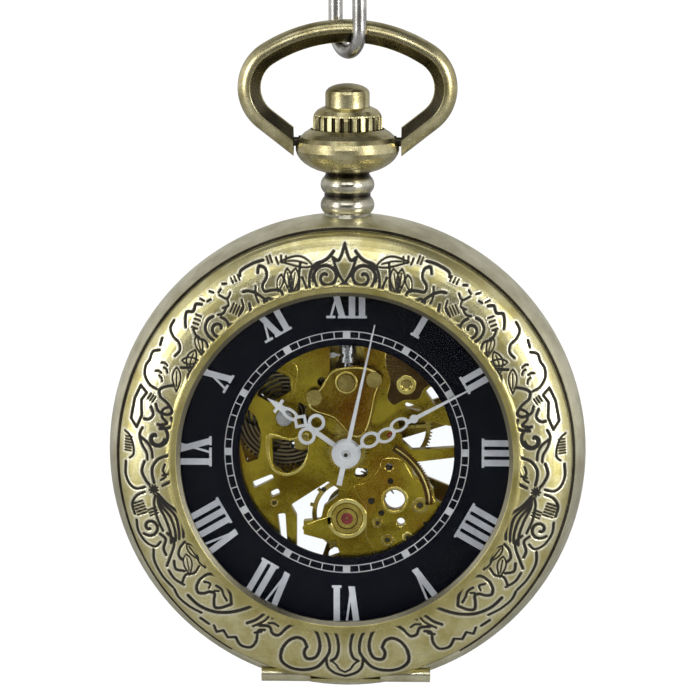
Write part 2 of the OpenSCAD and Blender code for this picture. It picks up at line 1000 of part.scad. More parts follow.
module bridge_screws() {
  color(steel)
    placed() {
      for (i = [0 : len(FEET) - 1])
        screw(FEET[i], bridge_1 - 0.35, 0.35, 0.9, 0.34, plate_1, 40 + 47 * i, true);
      for (i = [0 : 1])
        screw(KEYLESS_FEET[i], -2.2, 0.22, 0.78, 0.29, plate_0, 20 + 50 * i, false);
      screw([-0.03, 6.9], -2.2, 0.22, 0.82, 0.3, -1.75, 15, false);
    }
}

module jewel(p, y0, y1, r, bore) {
  difference() {
    post(p, y0, y1, r);
    post(p, y0 - 1, y1 + 1, bore);
  }
}

module train_jewels() {
  color(ruby)
    placed() {
      for (q = [T, E, P])
        jewel(q, plate_0 - 0.05, plate_1 - 0.2, 0.3, 0.13);
      for (q = [[0, 0], T, E])
        jewel(q, bridge_0 + 0.1, bridge_1 + 0.05, 0.5, q == [0, 0] ? 0.19 : 0.13);
      jewel(BAL, bridge_0 + 0.1, bridge_1 + 0.1, 0.6, 0.13);
    }
}

module balance_jewel() {
  color(ruby)
    placed() {
      jewel(BAL, plate_0 - 0.16, plate_1 - 0.2, 0.52, 0.13);
      difference() {
        post(BAL, plate_0 - 0.14, plate_0, 1.5);
        post(BAL, plate_0 - 1, plate_0 + 1, 0.52);
      }
    }
}

module regulator() {
  color(steel)
    placed()
      difference() {
        slab(bridge_1 + 0.02, bridge_1 + 0.25) {
          at(BAL)
            ring2d(1.5, 0.75);
          bar2d(BAL + [0, -1.2], BAL + [0.6, -4.6], 0.35);
          bar2d(BAL + [0, 1.2], BAL + [0, 1.9], 0.5);
        }
        post(BAL, bridge_1 - 1, bridge_1 + 1, 0.75);
      }
}

// ---- winding work ----

crown_m = 0.16;
crown_teeth = 36;
ratchet_teeth = 64;
pinion_teeth = 16;
to_barrel = heading(C1, B);

module crown_wheel_core() {
  color(steel)
    placed()
      difference() {
        union() {
          post(C1, 1, 1.65, 0.8);
          post(C1, 1, 1.16, 1.25);
          post(C1, 1.64, bridge_0, 1.2);
        }
        translate([C1[0], 1, C1[1]])
          cube([3, 0.12, 0.2], center = true);
      }
}

module crown_wheel() {
  color(gold)
    placed()
      difference() {
        union() {
          slab(ratchet_0, ratchet_1)
            at(C1)
              gear2d(crown_teeth, crown_m, to_barrel);
          slab(1.08, ratchet_0 + eps)
            at(C1)
              ring2d(2.75, 2.35);
          slab(0.84, 1.1)
            at(C1)
              for (i = [0 : crown_teeth - 1])
                rotate(90 + 360 / crown_teeth * (i + 0.5))
                  translate([2.37, -0.07])
                    square([0.36, 0.14]);
        }
        post(C1, 0, 3, 0.84);
      }
}

module ratchet_wheel() {
  color(steel)
    placed()
      slab(ratchet_0, ratchet_1)
        at(B)
          difference() {
            gear2d(ratchet_teeth, crown_m, to_barrel + 180 + 180 / ratchet_teeth);
            circle(0.8);
            for (i = [0 : 5])
              rotate(60 * i)
                translate([3, 0])
                  circle(1.15);
          }
}

module barrel_arbor() {
  color(steel)
    placed() {
      post(B, plate_0 - 0.1, bridge_0 - 0.05, 0.8);
      post(B, bridge_0 - 0.05 - eps, bridge_1 + 0.15, 0.6);
      post(B, 1.95, 2.7, 1.25);
    }
}

module click() {
  color(steel)
    placed()
      difference() {
        slab(ratchet_0, ratchet_1) {
          at(CLICK)
            circle(0.62);
          bar2d(CLICK, B + 5.62 * [cos(139), sin(139)], 0.34);
          bar2d(CLICK, CLICK + [-1.1, -0.9], 0.3);
        }
        post(CLICK, 1, 2, 0.3);
      }
}

module barrel_drum() {
  a = heading([0, 0], B) + 180;
  color(gold)
    placed()
      difference() {
        union() {
          slab(drum_0, drum_0 + 0.5)
            at(B)
              gear2d(84, barrel_m, a + 180 / 84);
          post(B, drum_0, drum_1, 5.7);
        }
        post(B, drum_0 + 0.15, drum_1 - 0.15, 5.3);
        post(B, 0, 5, 0.85);
        for (i = [0 : 4])
          post(B + polar(3.3, 72 * i + 10), drum_1 - 0.4, 5, 1);
        for (i = [0 : 4])
          post(B + polar(3.3, 72 * i + 46), 1, drum_0 + 0.3, 1.35);
      }
}

module mainspring() {
  color(steel)
    placed()
      slab(1.98, 2.66)
        at(B)
          spiral2d(1.42, 4.85, 7, 0.2, 168);
}

module winding_arbor() {
  color(steel)
    placed()
      difference() {
        union() {
          on_stem(6.6, 7.5, 0.3);
          on_stem(7.5, 15.9, 0.46);
          on_stem(15.3, 17.4, 0.6);
          on_stem(12.2, 13, 0.6);
          translate([0, stem_y, 10.5])
            rotate([0, 0, 90])
              linear_extrude(height = 0.85)
                gear2d(pinion_teeth, 0.15, 0);
        }
        translate([-0.3, stem_y - 0.3, 15.35])
          cube([0.6, 0.6, 3]);
      }
}

module sliding_pinion() {
  color(steel)
    placed()
      difference() {
        union() {
          on_stem(8.7, 10.2, 0.85);
          for (i = [0 : 11])
            translate([0, stem_y, 10.2])
              rotate([0, 0, 30 * i])
                translate([0.56, -0.07, -eps])
                  cube([0.28, 0.14, 0.22]);
        }
        on_stem(8, 11, 0.5);
        difference() {
          on_stem(9.2, 9.6, 2);
          on_stem(9, 10, 0.65);
        }
      }
}

module yoke() {
  color(steel)
    placed()
      difference() {
        union() {
          slab(stem_y - 0.15, stem_y + 0.15) {
            at(YOKE)
              circle(0.6);
            bar2d(YOKE, [-1.35, 9.4], 0.5);
            bar2d([-1.35, 9.4], [-0.86, 9.4], 0.24);
            bar2d(YOKE, YOKE + [-0.9, 1.7], 0.35);
          }
        }
        post(YOKE, -3, 3, 0.3);
      }
}

// ---- motion work ----

module minute_wheel() {
  a = heading([0, 0], W);
  color(gold)
    placed()
      difference() {
        union() {
          slab(-1.5, -1.3)
            at(W)
              gear2d(36, 0.1, a + 180 + 5);
          slab(-1.78, -1.49)
            at(W)
              gear2d(10, 0.096, a);
        }
        post(W, -3, 0, 0.28);
      }
}

module hour_wheel() {
  a = heading([0, 0], W);
  color(gold)
    placed()
      difference() {
        union() {
          slab(-1.78, -1.58)
            gear2d(40, 0.096, a + 180 + 4.5);
          post([0, 0], -3.2, -1.58, 0.75);
        }
        post([0, 0], -4, 0, 0.55);
      }
}

module cannon_pinion() {
  color(steel)
    placed()
      difference() {
        union() {
          slab(-1.5, -1.28)
            gear2d(12, 0.1, heading([0, 0], W));
          post([0, 0], -3.7, -1.5, 0.5);
        }
        post([0, 0], -4, 0, 0.36);
      }
}

// ---- going train ----

module centre_wheel() {
  color(gold)
    placed()
      difference() {
        union() {
          slab(centre_y, centre_y + gear_t)
            wheel2d(80, train_m, heading([0, 0], T), 0.5, 0.9, 5, 0.35);
          slab(drum_0, drum_0 + 0.5)
            gear2d(12, barrel_m, heading([0, 0], B));
          post([0, 0], -3.6, centre_y + 0.25, 0.36);
          post([0, 0], plate_1 + 0.1, drum_0, 0.6);
        }
        post([0, 0], -5, 5, 0.2);
      }
}

module third_wheel() {
  a = heading([0, 0], T);
  color(gold)
    placed()
      union() {
        slab(third_y, third_y + gear_t)
          at(T)
            wheel2d(75, third_m, a + 180, 0.45, 0.8, 5, 0.32);
        slab(centre_y - 0.1, centre_y + 0.3)
          at(T)
            gear2d(10, train_m, a + 180 + 18);
        post(T, plate_1 + 0.05, bridge_0 - 0.05, 0.22);
        post(T, plate_0 + 0.1, bridge_1 - 0.05, 0.1);
      }
}

module fourth_wheel() {
  color(gold)
    placed()
      union() {
        slab(fourth_y, fourth_y + gear_t)
          wheel2d(80, train_m, heading([0, 0], E), 0.45, 0.7, 5, 0.3);
        slab(third_y - 0.05, third_y + 0.3)
          gear2d(10, third_m, heading([0, 0], T) + 18);
        post([0, 0], -4.2, bridge_1 - 0.05, 0.16);
        post([0, 0], third_y, bridge_0 - 0.02, 0.3);
      }
}

module escape_wheel() {
  a = heading(E, P);
  color(steel)
    placed()
      union() {
        slab(escape_y, escape_y + gear_t)
          at(E) {
            difference() {
              polygon([
                for (i = [0 : 14])
                  for (q = [[0, 1.6], [1.5, 2.02], [4.2, 2.1], [5.5, 1.8], [9, 1.6]])
                    polar(q[1], a + 3 + 24 * i + q[0])
              ]);
              circle(1.35);
            }
            circle(0.5);
            arms2d(5, 0.3, 1.45, 0.22, 10);
          }
        slab(fourth_y - 0.1, fourth_y + 0.3)
          at(E)
            gear2d(8, train_m, heading([0, 0], E) + 180 + 22.5);
        post(E, plate_1 + 0.05, bridge_0 - 0.05, 0.15);
        post(E, plate_0 + 0.1, bridge_1 - 0.05, 0.1);
      }
}

// Pallet stones bear on the escape wheel thirty degrees to each side
STONES = [for (s = [-1, 1]) E + polar(2.17, heading(E, P) + 30 * s)];

module pallet_fork() {
  reach = P + 1.62 * EB;
  color(steel)
    placed()
      difference() {
        union() {
          slab(escape_y, escape_y + gear_t) {
            for (q = STONES)
              bar2d(P, q + 0.2 * (q - E) / norm(q - E), 0.3);
            at(P)
              circle(0.4);
            bar2d(P, reach, 0.26);
            for (s = [-1, 1])
              bar2d(reach, P + 2.05 * EB + 0.22 * s * [EB[1], -EB[0]], 0.13);
          }
          post(P, plate_0 + 0.1, 1.35, 0.1);
          post(P, plate_1 + 0.05, 0.95, 0.18);
        }
        for (q = STONES)
          stone(q);
      }
}

module stone(q) {
  a = heading(E, q);
  slab(escape_y - 0.03, escape_y + gear_t + 0.03)
    at(q)
      rotate(a)
        translate([-0.13, -0.1])
          square([0.42, 0.2]);
}

module pallet_stones() {
  color(ruby)
    placed()
      for (q = STONES)
        stone(q);
}

module balance_wheel() {
  dir = heading(BAL, P);
  color(gold)
    placed()
      union() {
        slab(1.6, 2.05)
          at(BAL) {
            ring2d(balance_r - 0.3, balance_r - 0.75);
            arms2d(2, 0.2, balance_r - 0.5, 0.5, 35);
            circle(0.6);
          }
        for (i = [0 : 13])
          translate([BAL[0], 1.82, BAL[1]])
            rotate([0, -(360 / 14 * i + 12), 0])
              translate([balance_r - 0.35, 0, 0])
                rotate([0, 90, 0])
                  cylinder(h = 0.35, r = 0.18);
        post(BAL, plate_0 + 0.05, bridge_1 - 0.05, 0.1);
        post(BAL, 0.3, 3.2, 0.22);
        post(BAL, 1.02, 1.2, 0.9);
        post(BAL + polar(0.72, dir), 0.55, 1.03, 0.1);
        post(BAL, 2.4, 2.8, 0.42);
      }
}

module hairspring() {
  color(steel)
    placed()
      union() {
        slab(2.5, 2.65)
          at(BAL)
            spiral2d(0.46, 2.35, 8, 0.06, 192);
        post(BAL + [2.38, 0.05], 2.45, bridge_0, 0.16);
      }
}

// ---- hands ----

module hour_hand() {
  color(steel)
    placed()
      slab(-3.15, -2.97)
        rotate(-hour_angle)
          difference() {
            union() {
              circle(1.45);
              translate([-0.24, 1.2])
                square([0.48, 2.4]);
              for (s = [-1, 1])
                translate([0.82 * s, 4.15])
                  ring2d(0.86, 0.54);
              translate([-0.2, 3.3])
                square([0.4, 1.9]);
              translate([0, 5.5])
                circle(r = 0.85, $fn = 4);
              translate([0, 6.75])
                scale([0.62, 1.15])
                  circle(r = 0.85);
              translate([-0.75, 7.95])
                square([1.5, 0.32]);
              polygon([[-0.34, 7.3], [0.34, 7.3], [0.3, 8.3], [0, 9.5], [-0.3, 8.3]]);
            }
            circle(0.75);
            translate([0, 5.5])
              circle(r = 0.45, $fn = 4);
            translate([0, 6.75])
              scale([0.5, 1.1])
                circle(r = 0.5);
          }
}

module minute_hand() {
  color(steel)
    placed()
      slab(-3.66, -3.5)
        rotate(-minute_angle)
          difference() {
            union() {
              circle(1.25);
              translate([-0.2, 1.1])
                square([0.4, 0.9]);
              for (i = [0 : 2])
                translate([i == 1 ? 0.16 : -0.16, 2.75 + 1.62 * i])
                  scale([0.82 - 0.06 * i, 1.05])
                    circle(r = 0.95);
              translate([0, 7.55])
                circle(r = 0.42);
              polygon([[-0.22, 6.6], [0.22, 6.6], [0.2, 8], [0.06, 14], [-0.06, 14], [-0.2, 8]]);
            }
            circle(0.5);
            for (i = [0 : 2])
              translate([i == 1 ? 0.16 : -0.16, 2.75 + 1.62 * i])
                scale([0.82 - 0.06 * i, 1.1])
                  circle(r = 0.6);
          }
}

module seconds_hand() {
  color(steel)
    placed()
      difference() {
        union() {
          slab(-4.14, -4.02)
            rotate(-seconds_angle) {
              circle(1.35);
              polygon([[-0.26, -3.1], [0.26, -3.1], [0.24, 0], [0.05, 13.2], [-0.05, 13.2], [-0.24, 0]]);
            }
          slab(-4.26, -4.13)
            ring2d(1.1, 0.62);
        }
        post([0, 0], -5, 0, 0.16);
      }
}

hanging_eye();
swivel_stirrup();
chain_link();
bow();
bow_pins();
pendant_ball();
pendant_neck();
crown();
case_stem();
crown_button();
button_spring();
lid_catch();
case_middle();
case_hinge();
hinge_pin();
front_lid();
lid_glass();
inner_bezel();
crystal();
dial_ring();
minute_track();
dial_numerals();
movement_ring();
case_screws();
back_cover();
back_glass();
main_plate();
barrel_bridge();
train_bridge();
balance_cock();
pallet_bridge();
keyless_bridge();
bridge_screws();
train_jewels();
balance_jewel();
regulator();
crown_wheel_core();
crown_wheel();
ratchet_wheel();
barrel_arbor();
click();
barrel_drum();
mainspring();
winding_arbor();
sliding_pinion();
yoke();
minute_wheel();
hour_wheel();
cannon_pinion();
centre_wheel();
third_wheel();
fourth_wheel();
escape_wheel();
pallet_fork();
pallet_stones();
balance_wheel();
hairspring();
hour_hand();
minute_hand();
seconds_hand();
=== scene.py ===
import math
import bmesh
import bpy
import numpy as np
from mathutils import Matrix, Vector


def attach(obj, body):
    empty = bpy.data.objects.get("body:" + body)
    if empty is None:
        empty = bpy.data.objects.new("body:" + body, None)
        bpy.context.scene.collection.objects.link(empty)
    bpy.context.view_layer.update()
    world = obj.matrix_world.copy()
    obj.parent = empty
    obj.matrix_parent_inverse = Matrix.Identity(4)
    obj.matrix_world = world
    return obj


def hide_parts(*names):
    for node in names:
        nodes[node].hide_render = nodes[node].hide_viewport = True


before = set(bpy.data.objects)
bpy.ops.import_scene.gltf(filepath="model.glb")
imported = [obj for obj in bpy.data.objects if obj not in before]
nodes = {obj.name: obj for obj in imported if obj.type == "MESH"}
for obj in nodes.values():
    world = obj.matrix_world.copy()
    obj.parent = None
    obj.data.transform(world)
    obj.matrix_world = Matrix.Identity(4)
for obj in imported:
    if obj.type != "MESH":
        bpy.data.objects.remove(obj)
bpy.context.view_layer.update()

MM = 0.001
EYE = 60.0  # from the case's centre up to the hanging eye, in mm
LIFT = 0.3  # from the part's own mid-plane back to the frame's, in mm
TURNED_DRIFT = 0.0006  # how slowly turned grain changes round the axis
CLOUD = (0.35, 0.68)  # where soft clouds of noise begin and end
FINE_GRAIN = 6500.0
BARREL = (-6.2, 3.2)  # places in the front plane, in mm
BALANCE = (0.0, -6.8)
scene = bpy.context.scene


# ---------------------------------------------------------------- materials
class Graph:
    """A material's node tree with short ways to add and join nodes."""

    def __init__(self, name):
        self.mat = bpy.data.materials.new(name)
        self.mat.use_nodes = True
        self.t = self.mat.node_tree
        self.bsdf = self.t.nodes["Principled BSDF"]

    def add(self, kind, **sets):
        n = self.t.nodes.new(kind)
        for k, v in sets.items():
            setattr(n, k, v)
        return n

    def link(self, a, b):
        self.t.links.new(a, b)

    def math(self, op, a, b=None, clamp=False):
        n = self.add("ShaderNodeMath", operation=op, use_clamp=clamp)
        for i, v in enumerate((a, b)):
            if v is None:
                continue
            if isinstance(v, (int, float)):
                n.inputs[i].default_value = v
            else:
                self.link(v, n.inputs[i])
        return n.outputs[0]

    def mix(self, fac, a, b):
        n = self.add("ShaderNodeMix", data_type="RGBA")
        for sock, v in ((n.inputs[0], fac), (n.inputs[6], a), (n.inputs[7], b)):
            if isinstance(v, (int, float)):
                sock.default_value = v
            elif isinstance(v, (tuple, list)):
                sock.default_value = (*v[:3], 1.0)
            else:
                self.link(v, sock)
        return n.outputs[2]

    def place(self):
        if not hasattr(self, "_place"):
            self._place = self.add("ShaderNodeTexCoord").outputs["Object"]
        return self._place

    def noise(self, scale, detail=3.0, rough=0.55, where=None, stretch=None):
        where = where or self.place()
        if stretch:
            m = self.add("ShaderNodeMapping")
            m.inputs["Scale"].default_value = stretch
            self.link(where, m.inputs["Vector"])
            where = m.outputs[0]
        n = self.add("ShaderNodeTexNoise")
        n.inputs["Scale"].default_value = scale
        n.inputs["Detail"].default_value = detail
        n.inputs["Roughness"].default_value = rough
        self.link(where, n.inputs["Vector"])
        return n.outputs["Fac"]

    def ramp(self, fac, lo, hi, a=0.0, b=1.0):
        n = self.add("ShaderNodeMapRange")
        n.inputs["From Min"].default_value = lo
        n.inputs["From Max"].default_value = hi
        n.inputs["To Min"].default_value = a
        n.inputs["To Max"].default_value = b
        self.link(fac, n.inputs["Value"])
        return n.outputs[0]

    def attr(self, name):
        return self.add("ShaderNodeAttribute", attribute_name=name).outputs["Fac"]

    def axes(self):
        """The place's x, y and z, each on its own."""
        sep = self.add("ShaderNodeSeparateXYZ")
        self.link(self.place(), sep.inputs[0])
        return sep.outputs

    def length(self, u, v):
        squares = [self.math("MULTIPLY", w, w) for w in (u, v)]
        return self.math("SQRT", self.math("ADD", *squares))

    def around(self):
        """Radius from the watch's axis, as a vector for turned grain."""
        x, y, z = self.axes()
        z = self.math("ADD", z, EYE * MM)
        c = self.add("ShaderNodeCombineXYZ")
        self.link(self.length(x, z), c.inputs[0])
        self.link(y, c.inputs[1])
        self.link(self.math("MULTIPLY", self.math("ARCTAN2", x, z), TURNED_DRIFT), c.inputs[2])
        return c.outputs[0]

    def tone(self, blotch=350.0, fine=0.2):
        """Soft clouds with a fine grain, as a factor between two tones."""
        cloud = self.ramp(self.noise(blotch, 4.0, 0.6), *CLOUD)
        grain = self.ramp(self.noise(FINE_GRAIN), 0.2, 0.8, -fine, fine)
        return self.math("ADD", cloud, grain, clamp=True)

    def bump(self, height, strength, distance):
        n = self.add("ShaderNodeBump")
        n.inputs["Strength"].default_value = strength
        n.inputs["Distance"].default_value = distance
        self.link(height, n.inputs["Height"])
        return n.outputs[0]

    def set(self, **sockets):
        for k, v in sockets.items():
            s = self.bsdf.inputs[k.replace("_", " ")]
            if isinstance(v, (int, float)):
                s.default_value = v
            elif isinstance(v, (tuple, list)):
                s.default_value = (*v[:3], 1.0)
            else:
                self.link(v, s)
        return self.mat


def metal(name, light, dark, rough=0.3, grain="cloud", blotch=350.0, spread=0.12,
          bump=0.2, groove_dark=False, tarnish=None, body=1.0, shade=False):
    """Worn metal: two tones in soft clouds, fine grain; optional dark engraved grooves with painted highlight and
    painted shade on the cover, or painted shade where marked.
    """
    g = Graph(name)
    cloud = g.noise(blotch, 4.0, 0.6)
    if grain == "turned":
        fine = g.noise(9000.0, 2.0, 0.6, where=g.around())
    elif grain == "brushed":
        fine = g.noise(1.0, 3.0, 0.6, stretch=(900.0, 900.0, 14000.0))
    else:
        fine = g.noise(FINE_GRAIN, 3.0, 0.65)
    f = g.math("ADD", g.ramp(cloud, *CLOUD), g.ramp(fine, 0.2, 0.8, -0.22, 0.22), clamp=True)
    col = g.mix(f, light, dark)
    if tarnish:
        t = g.ramp(g.noise(blotch * 0.42, 3.0, 0.5), 0.52, 0.7)
        col = g.mix(g.math("MULTIPLY", t, 0.7), col, tarnish)
    r = g.math("ADD", g.ramp(fine, 0.2, 0.8, rough - spread * 0.5, rough + spread * 0.5),
               g.ramp(cloud, 0.3, 0.7, -0.03, 0.05))
    if groove_dark:
        a = g.attr("groove_dark")
        # Painted highlight: a near-white band along the edges of the engraved cuts.
        col = g.mix(g.math("MULTIPLY", g.attr("cut_highlight"), 0.7), col, (0.97, 0.95, 0.84))
        x, _, z = g.axes()
        rad = g.length(x, g.math("ADD", z, EYE * MM))
        # Painted shade: from 19 to 17.2 mm the cover darkens to olive towards the window.
        olive = g.mix(f, (0.62, 0.54, 0.20), (0.34, 0.29, 0.08))
        col = g.mix(g.ramp(rad, 19.0 * MM, 17.2 * MM, 0.0, 0.75), col, olive)
        # Inside 16.5 mm, on the window's bevel, the cover is drawn dark grey.
        col = g.mix(g.ramp(rad, 16.55 * MM, 16.45 * MM), col, (0.20, 0.185, 0.13))
        # The engraved grooves are drawn near black, less metallic and rougher.
        col = g.mix(a, col, (0.012, 0.010, 0.007))
        r = g.math("ADD", r, g.math("MULTIPLY", a, 0.35))
        g.set(Metallic=g.ramp(a, 0.0, 1.0, 1.0, 0.25))
    elif shade:
        # Painted shade: near black where the mesh marks 'shade'.
        deep = g.math("MULTIPLY", g.attr("shade"), g.ramp(cloud, 0.3, 0.7, 1.0, 0.8))
        col = g.mix(deep, col, (0.035, 0.03, 0.02))
        g.set(Metallic=body)
    else:
        g.set(Metallic=body)
    g.set(Base_Color=col, Roughness=r, Normal=g.bump(fine, bump, 0.00002))
    return g.mat


M = {
    "lid": metal("engraved_brass", (0.86, 0.80, 0.46), (0.54, 0.47, 0.17), 0.29, "cloud", groove_dark=True),
    "rim": metal("case_brass", (0.84, 0.81, 0.60), (0.56, 0.53, 0.36), 0.30, "turned"),
    "pendant": metal("pendant_brass", (0.66, 0.60, 0.36), (0.24, 0.20, 0.08), 0.27,
                     "cloud", shade=True),
    "plate": metal("gilt_plate", (0.52, 0.40, 0.035), (0.20, 0.125, 0.005), 0.25, "cloud",
                   blotch=260.0, bump=0.05, tarnish=(0.30, 0.10, 0.004)),
    "keyless": metal("keyless_plate", (0.40, 0.27, 0.025), (0.15, 0.08, 0.005), 0.25,
                     "cloud", blotch=300.0, bump=0.05, tarnish=(0.24, 0.075, 0.004)),
    "bridge": metal("gilt_bridge", (0.48, 0.36, 0.05), (0.22, 0.15, 0.012), 0.28,
                    "brushed", bump=0.06, tarnish=(0.24, 0.10, 0.01)),
    # Bevels drawn much brighter than the gilt: partly the real polish, partly painted highlight.
    "edge": metal("polished_edge_and_highlight", (0.90, 0.78, 0.28), (0.60, 0.46, 0.08), 0.16, "cloud"),
    "brown": metal("brown_plate", (0.15, 0.095, 0.03), (0.06, 0.03, 0.008), 0.28,
                   "brushed", tarnish=(0.12, 0.035, 0.008)),
    "wheel": metal("gilt_wheel", (0.68, 0.54, 0.14), (0.42, 0.31, 0.05), 0.28, "cloud"),
    "screw": metal("gilt_screws", (0.55, 0.44, 0.14), (0.28, 0.20, 0.04), 0.22, "cloud"),
    "steel": metal("bright_steel", (0.62, 0.62, 0.62), (0.34, 0.34, 0.35), 0.22, "cloud"),
    # Dark steel for the pins; also the painted shade in holes and at the cover's seam.
    "dark": metal("dark_steel_and_painted_shade", (0.10, 0.09, 0.07), (0.03, 0.025, 0.02), 0.3, "cloud"),
    "chain": metal("gunmetal", (0.58, 0.57, 0.55), (0.26, 0.25, 0.235), 0.24, "cloud"),
    "silver": metal("silver_hands", (0.84, 0.84, 0.86), (0.62, 0.62, 0.64), 0.34, "cloud",
                    bump=0.15, body=0.45),
    "numeral": metal("silver_numerals", (0.95, 0.95, 1.0), (0.68, 0.68, 0.74), 0.42,
                     "cloud", bump=0.35, body=0.25),
    "blue": metal("blued_steel", (0.10, 0.09, 0.07), (0.03, 0.028, 0.03), 0.25, "cloud"),
}


def crown_metal():
    """The pendant's brass, with painted shade: near black in the crown's flutes."""
    g = Graph("crown_brass")
    f = g.tone()
    x, y, z = g.axes()
    below = g.math("LESS_THAN", z, -26.9 * MM)
    deep = g.math("MULTIPLY", g.ramp(g.length(x, y), 3.36 * MM, 3.28 * MM), below)
    col = g.mix(deep, g.mix(f, (0.72, 0.66, 0.38), (0.34, 0.28, 0.10)), (0.02, 0.016, 0.008))
    return g.set(Base_Color=col, Metallic=1.0, Roughness=g.ramp(f, 0, 1, 0.22, 0.34))


def jewel_metal():
    """A brass setting round a small dark red jewel."""
    g = Graph("set_jewel")
    x, _, z = g.axes()
    r = g.length(x, g.math("ADD", z, (EYE - BALANCE[1]) * MM))
    red = g.ramp(r, 0.62 * MM, 0.56 * MM)
    tone = g.ramp(g.noise(700.0, 3.0), 0.3, 0.7)
    line = g.math("LESS_THAN", g.math("ABSOLUTE", g.math("SUBTRACT", r, 1.02 * MM)), 0.07 * MM)
    gold = g.mix(line, g.mix(tone, (0.66, 0.52, 0.12), (0.40, 0.28, 0.04)), (0.16, 0.09, 0.02))
    col = g.mix(red, gold, g.mix(tone, (0.24, 0.035, 0.03), (0.10, 0.012, 0.012)))
    return g.set(Base_Color=col, Metallic=g.math("SUBTRACT", 1.0, red),
                 Roughness=g.ramp(tone, 0, 1, 0.2, 0.3))


def neck_metal():
    """The pendant's brass, with painted shadow: near black between the neck's beads."""
    g = Graph("neck_brass")
    f = g.tone(420.0)
    height = g.axes()[2]
    col = g.mix(f, (0.58, 0.56, 0.46), (0.22, 0.20, 0.14))
    # Painted shadow in the valleys between the beads.
    for z, half in ((-37.3, 0.3), (-34.7, 0.28), (-32.7, 0.3)):
        d = g.math("ABSOLUTE", g.math("SUBTRACT", height, z * MM))
        col = g.mix(g.ramp(d, half * MM * 1.6, half * MM * 0.5), col, (0.018, 0.015, 0.01))
    return g.set(Base_Color=col, Metallic=1.0, Roughness=g.ramp(f, 0, 1, 0.22, 0.32))


def ratchet_metal():
    """Dark steel with turned rings round the barrel's arbor."""
    g = Graph("snailed_ratchet")
    rings_per_metre = 15700.0  # in radians: one ring each 0.4 mm
    x, _, z = g.axes()
    x, z = g.math("ADD", x, -BARREL[0] * MM), g.math("ADD", z, (EYE - BARREL[1]) * MM)
    r = g.math("ADD", g.length(x, z), g.ramp(g.noise(300.0), 0.3, 0.7, 0.0, 0.1 * MM))
    band = g.ramp(g.math("SINE", g.math("MULTIPLY", r, rings_per_metre)), -0.4, 0.6)
    return g.set(Base_Color=g.mix(band, (0.025, 0.02, 0.015), (0.30, 0.25, 0.16)),
                 Metallic=1.0, Roughness=g.ramp(band, 0, 1, 0.45, 0.28),
                 Normal=g.bump(band, 0.5, 0.04 * MM))


M["crown"] = crown_metal()
M["neck"] = neck_metal()
M["ratchet"] = ratchet_metal()
M["jewel"] = jewel_metal()


def enamel():
    """Black enamel with a few pale specks."""
    g = Graph("black_enamel")
    specks = g.ramp(g.noise(5200.0, 2.0, 0.5), 0.70, 0.76)
    col = g.mix(g.math("MULTIPLY", specks, 0.35), (0.0035, 0.004, 0.008), (0.12, 0.12, 0.12))
    return g.set(Base_Color=col, Roughness=g.ramp(g.noise(900.0), 0.3, 0.7, 0.16, 0.24),
                 Specular_IOR_Level=0.06)


def ruby():
    """A deep red jewel, clouded inside."""
    g = Graph("ruby")
    deep = g.ramp(g.noise(700.0, 2.0), 0.3, 0.7)
    return g.set(Base_Color=g.mix(deep, (0.22, 0.01, 0.02), (0.10, 0.004, 0.01)),
                 Roughness=0.12, Coat_Weight=0.6)


def glass():
    """Clear glass: mostly see-through, with a faint gloss."""
    g = Graph("watch_glass")
    clear = g.add("ShaderNodeBsdfTransparent")
    clear.inputs[0].default_value = (0.985, 0.99, 0.99, 1.0)
    gloss = g.add("ShaderNodeBsdfGlossy")
    gloss.inputs["Roughness"].default_value = 0.05
    mix = g.add("ShaderNodeMixShader")
    g.link(g.ramp(g.noise(40.0, 1.0), 0.3, 0.7, 0.002, 0.004), mix.inputs[0])
    g.link(clear.outputs[0], mix.inputs[1])
    g.link(gloss.outputs[0], mix.inputs[2])
    out = [n for n in g.t.nodes if n.type == "OUTPUT_MATERIAL"][0]
    g.link(mix.outputs[0], out.inputs[0])
    g.t.nodes.remove(g.bsdf)
    return g.mat


M["enamel"] = enamel()
M["ruby"] = ruby()
M["glass"] = glass()

DRESS = {
    "rim": ["case_middle", "case_hinge", "back_cover", "inner_bezel"],
    "lid": ["front_lid"],
    "pendant": ["pendant_ball", "crown_button", "bow"],
    "neck": ["pendant_neck"],
    "ratchet": ["ratchet_wheel"],
    "dark": ["bow_pins"],
    "crown": ["crown"],
    "jewel": ["balance_jewel"],
    "screw": ["bridge_screws", "crown_wheel_core"],
    "plate": ["main_plate", "movement_ring"],
    "keyless": ["keyless_bridge"],
    "bridge": ["barrel_bridge", "train_bridge", "balance_cock", "pallet_bridge"],
    "wheel": ["barrel_drum", "crown_wheel", "minute_wheel", "hour_wheel", "centre_wheel",
              "third_wheel", "fourth_wheel", "balance_wheel"],
    "steel": ["case_stem", "button_spring", "lid_catch", "hinge_pin", "case_screws", "regulator",
              "barrel_arbor", "click", "winding_arbor", "sliding_pinion", "yoke", "cannon_pinion", "escape_wheel", "pallet_fork"],
    "blue": ["mainspring", "hairspring"],
    "chain": ["hanging_eye", "swivel_stirrup", "chain_link"],
    "silver": ["hour_hand", "minute_hand", "seconds_hand", "minute_track"],
    "numeral": ["dial_numerals"],
    "enamel": ["dial_ring"],
    "ruby": ["train_jewels", "pallet_stones"],
    "glass": ["lid_glass", "crystal", "back_glass"],
}
BEVEL = {"dial_numerals": 0.03, "minute_track": 0.015, "hour_hand": 0.05, "minute_hand": 0.05,
         "seconds_hand": 0.03,
         "main_plate": 0.09, "keyless_bridge": 0.08, "barrel_bridge": 0.12, "train_bridge": 0.12, "balance_cock": 0.12,
         "bridge_screws": 0.05, "crown": 0.08, "ratchet_wheel": 0.03, "dial_ring": 0.04, "pallet_bridge": 0.05,
         "case_hinge": 0.05, "click": 0.03, "hanging_eye": 0.15, "case_screws": 0.06, "bow_pins": 0.05}


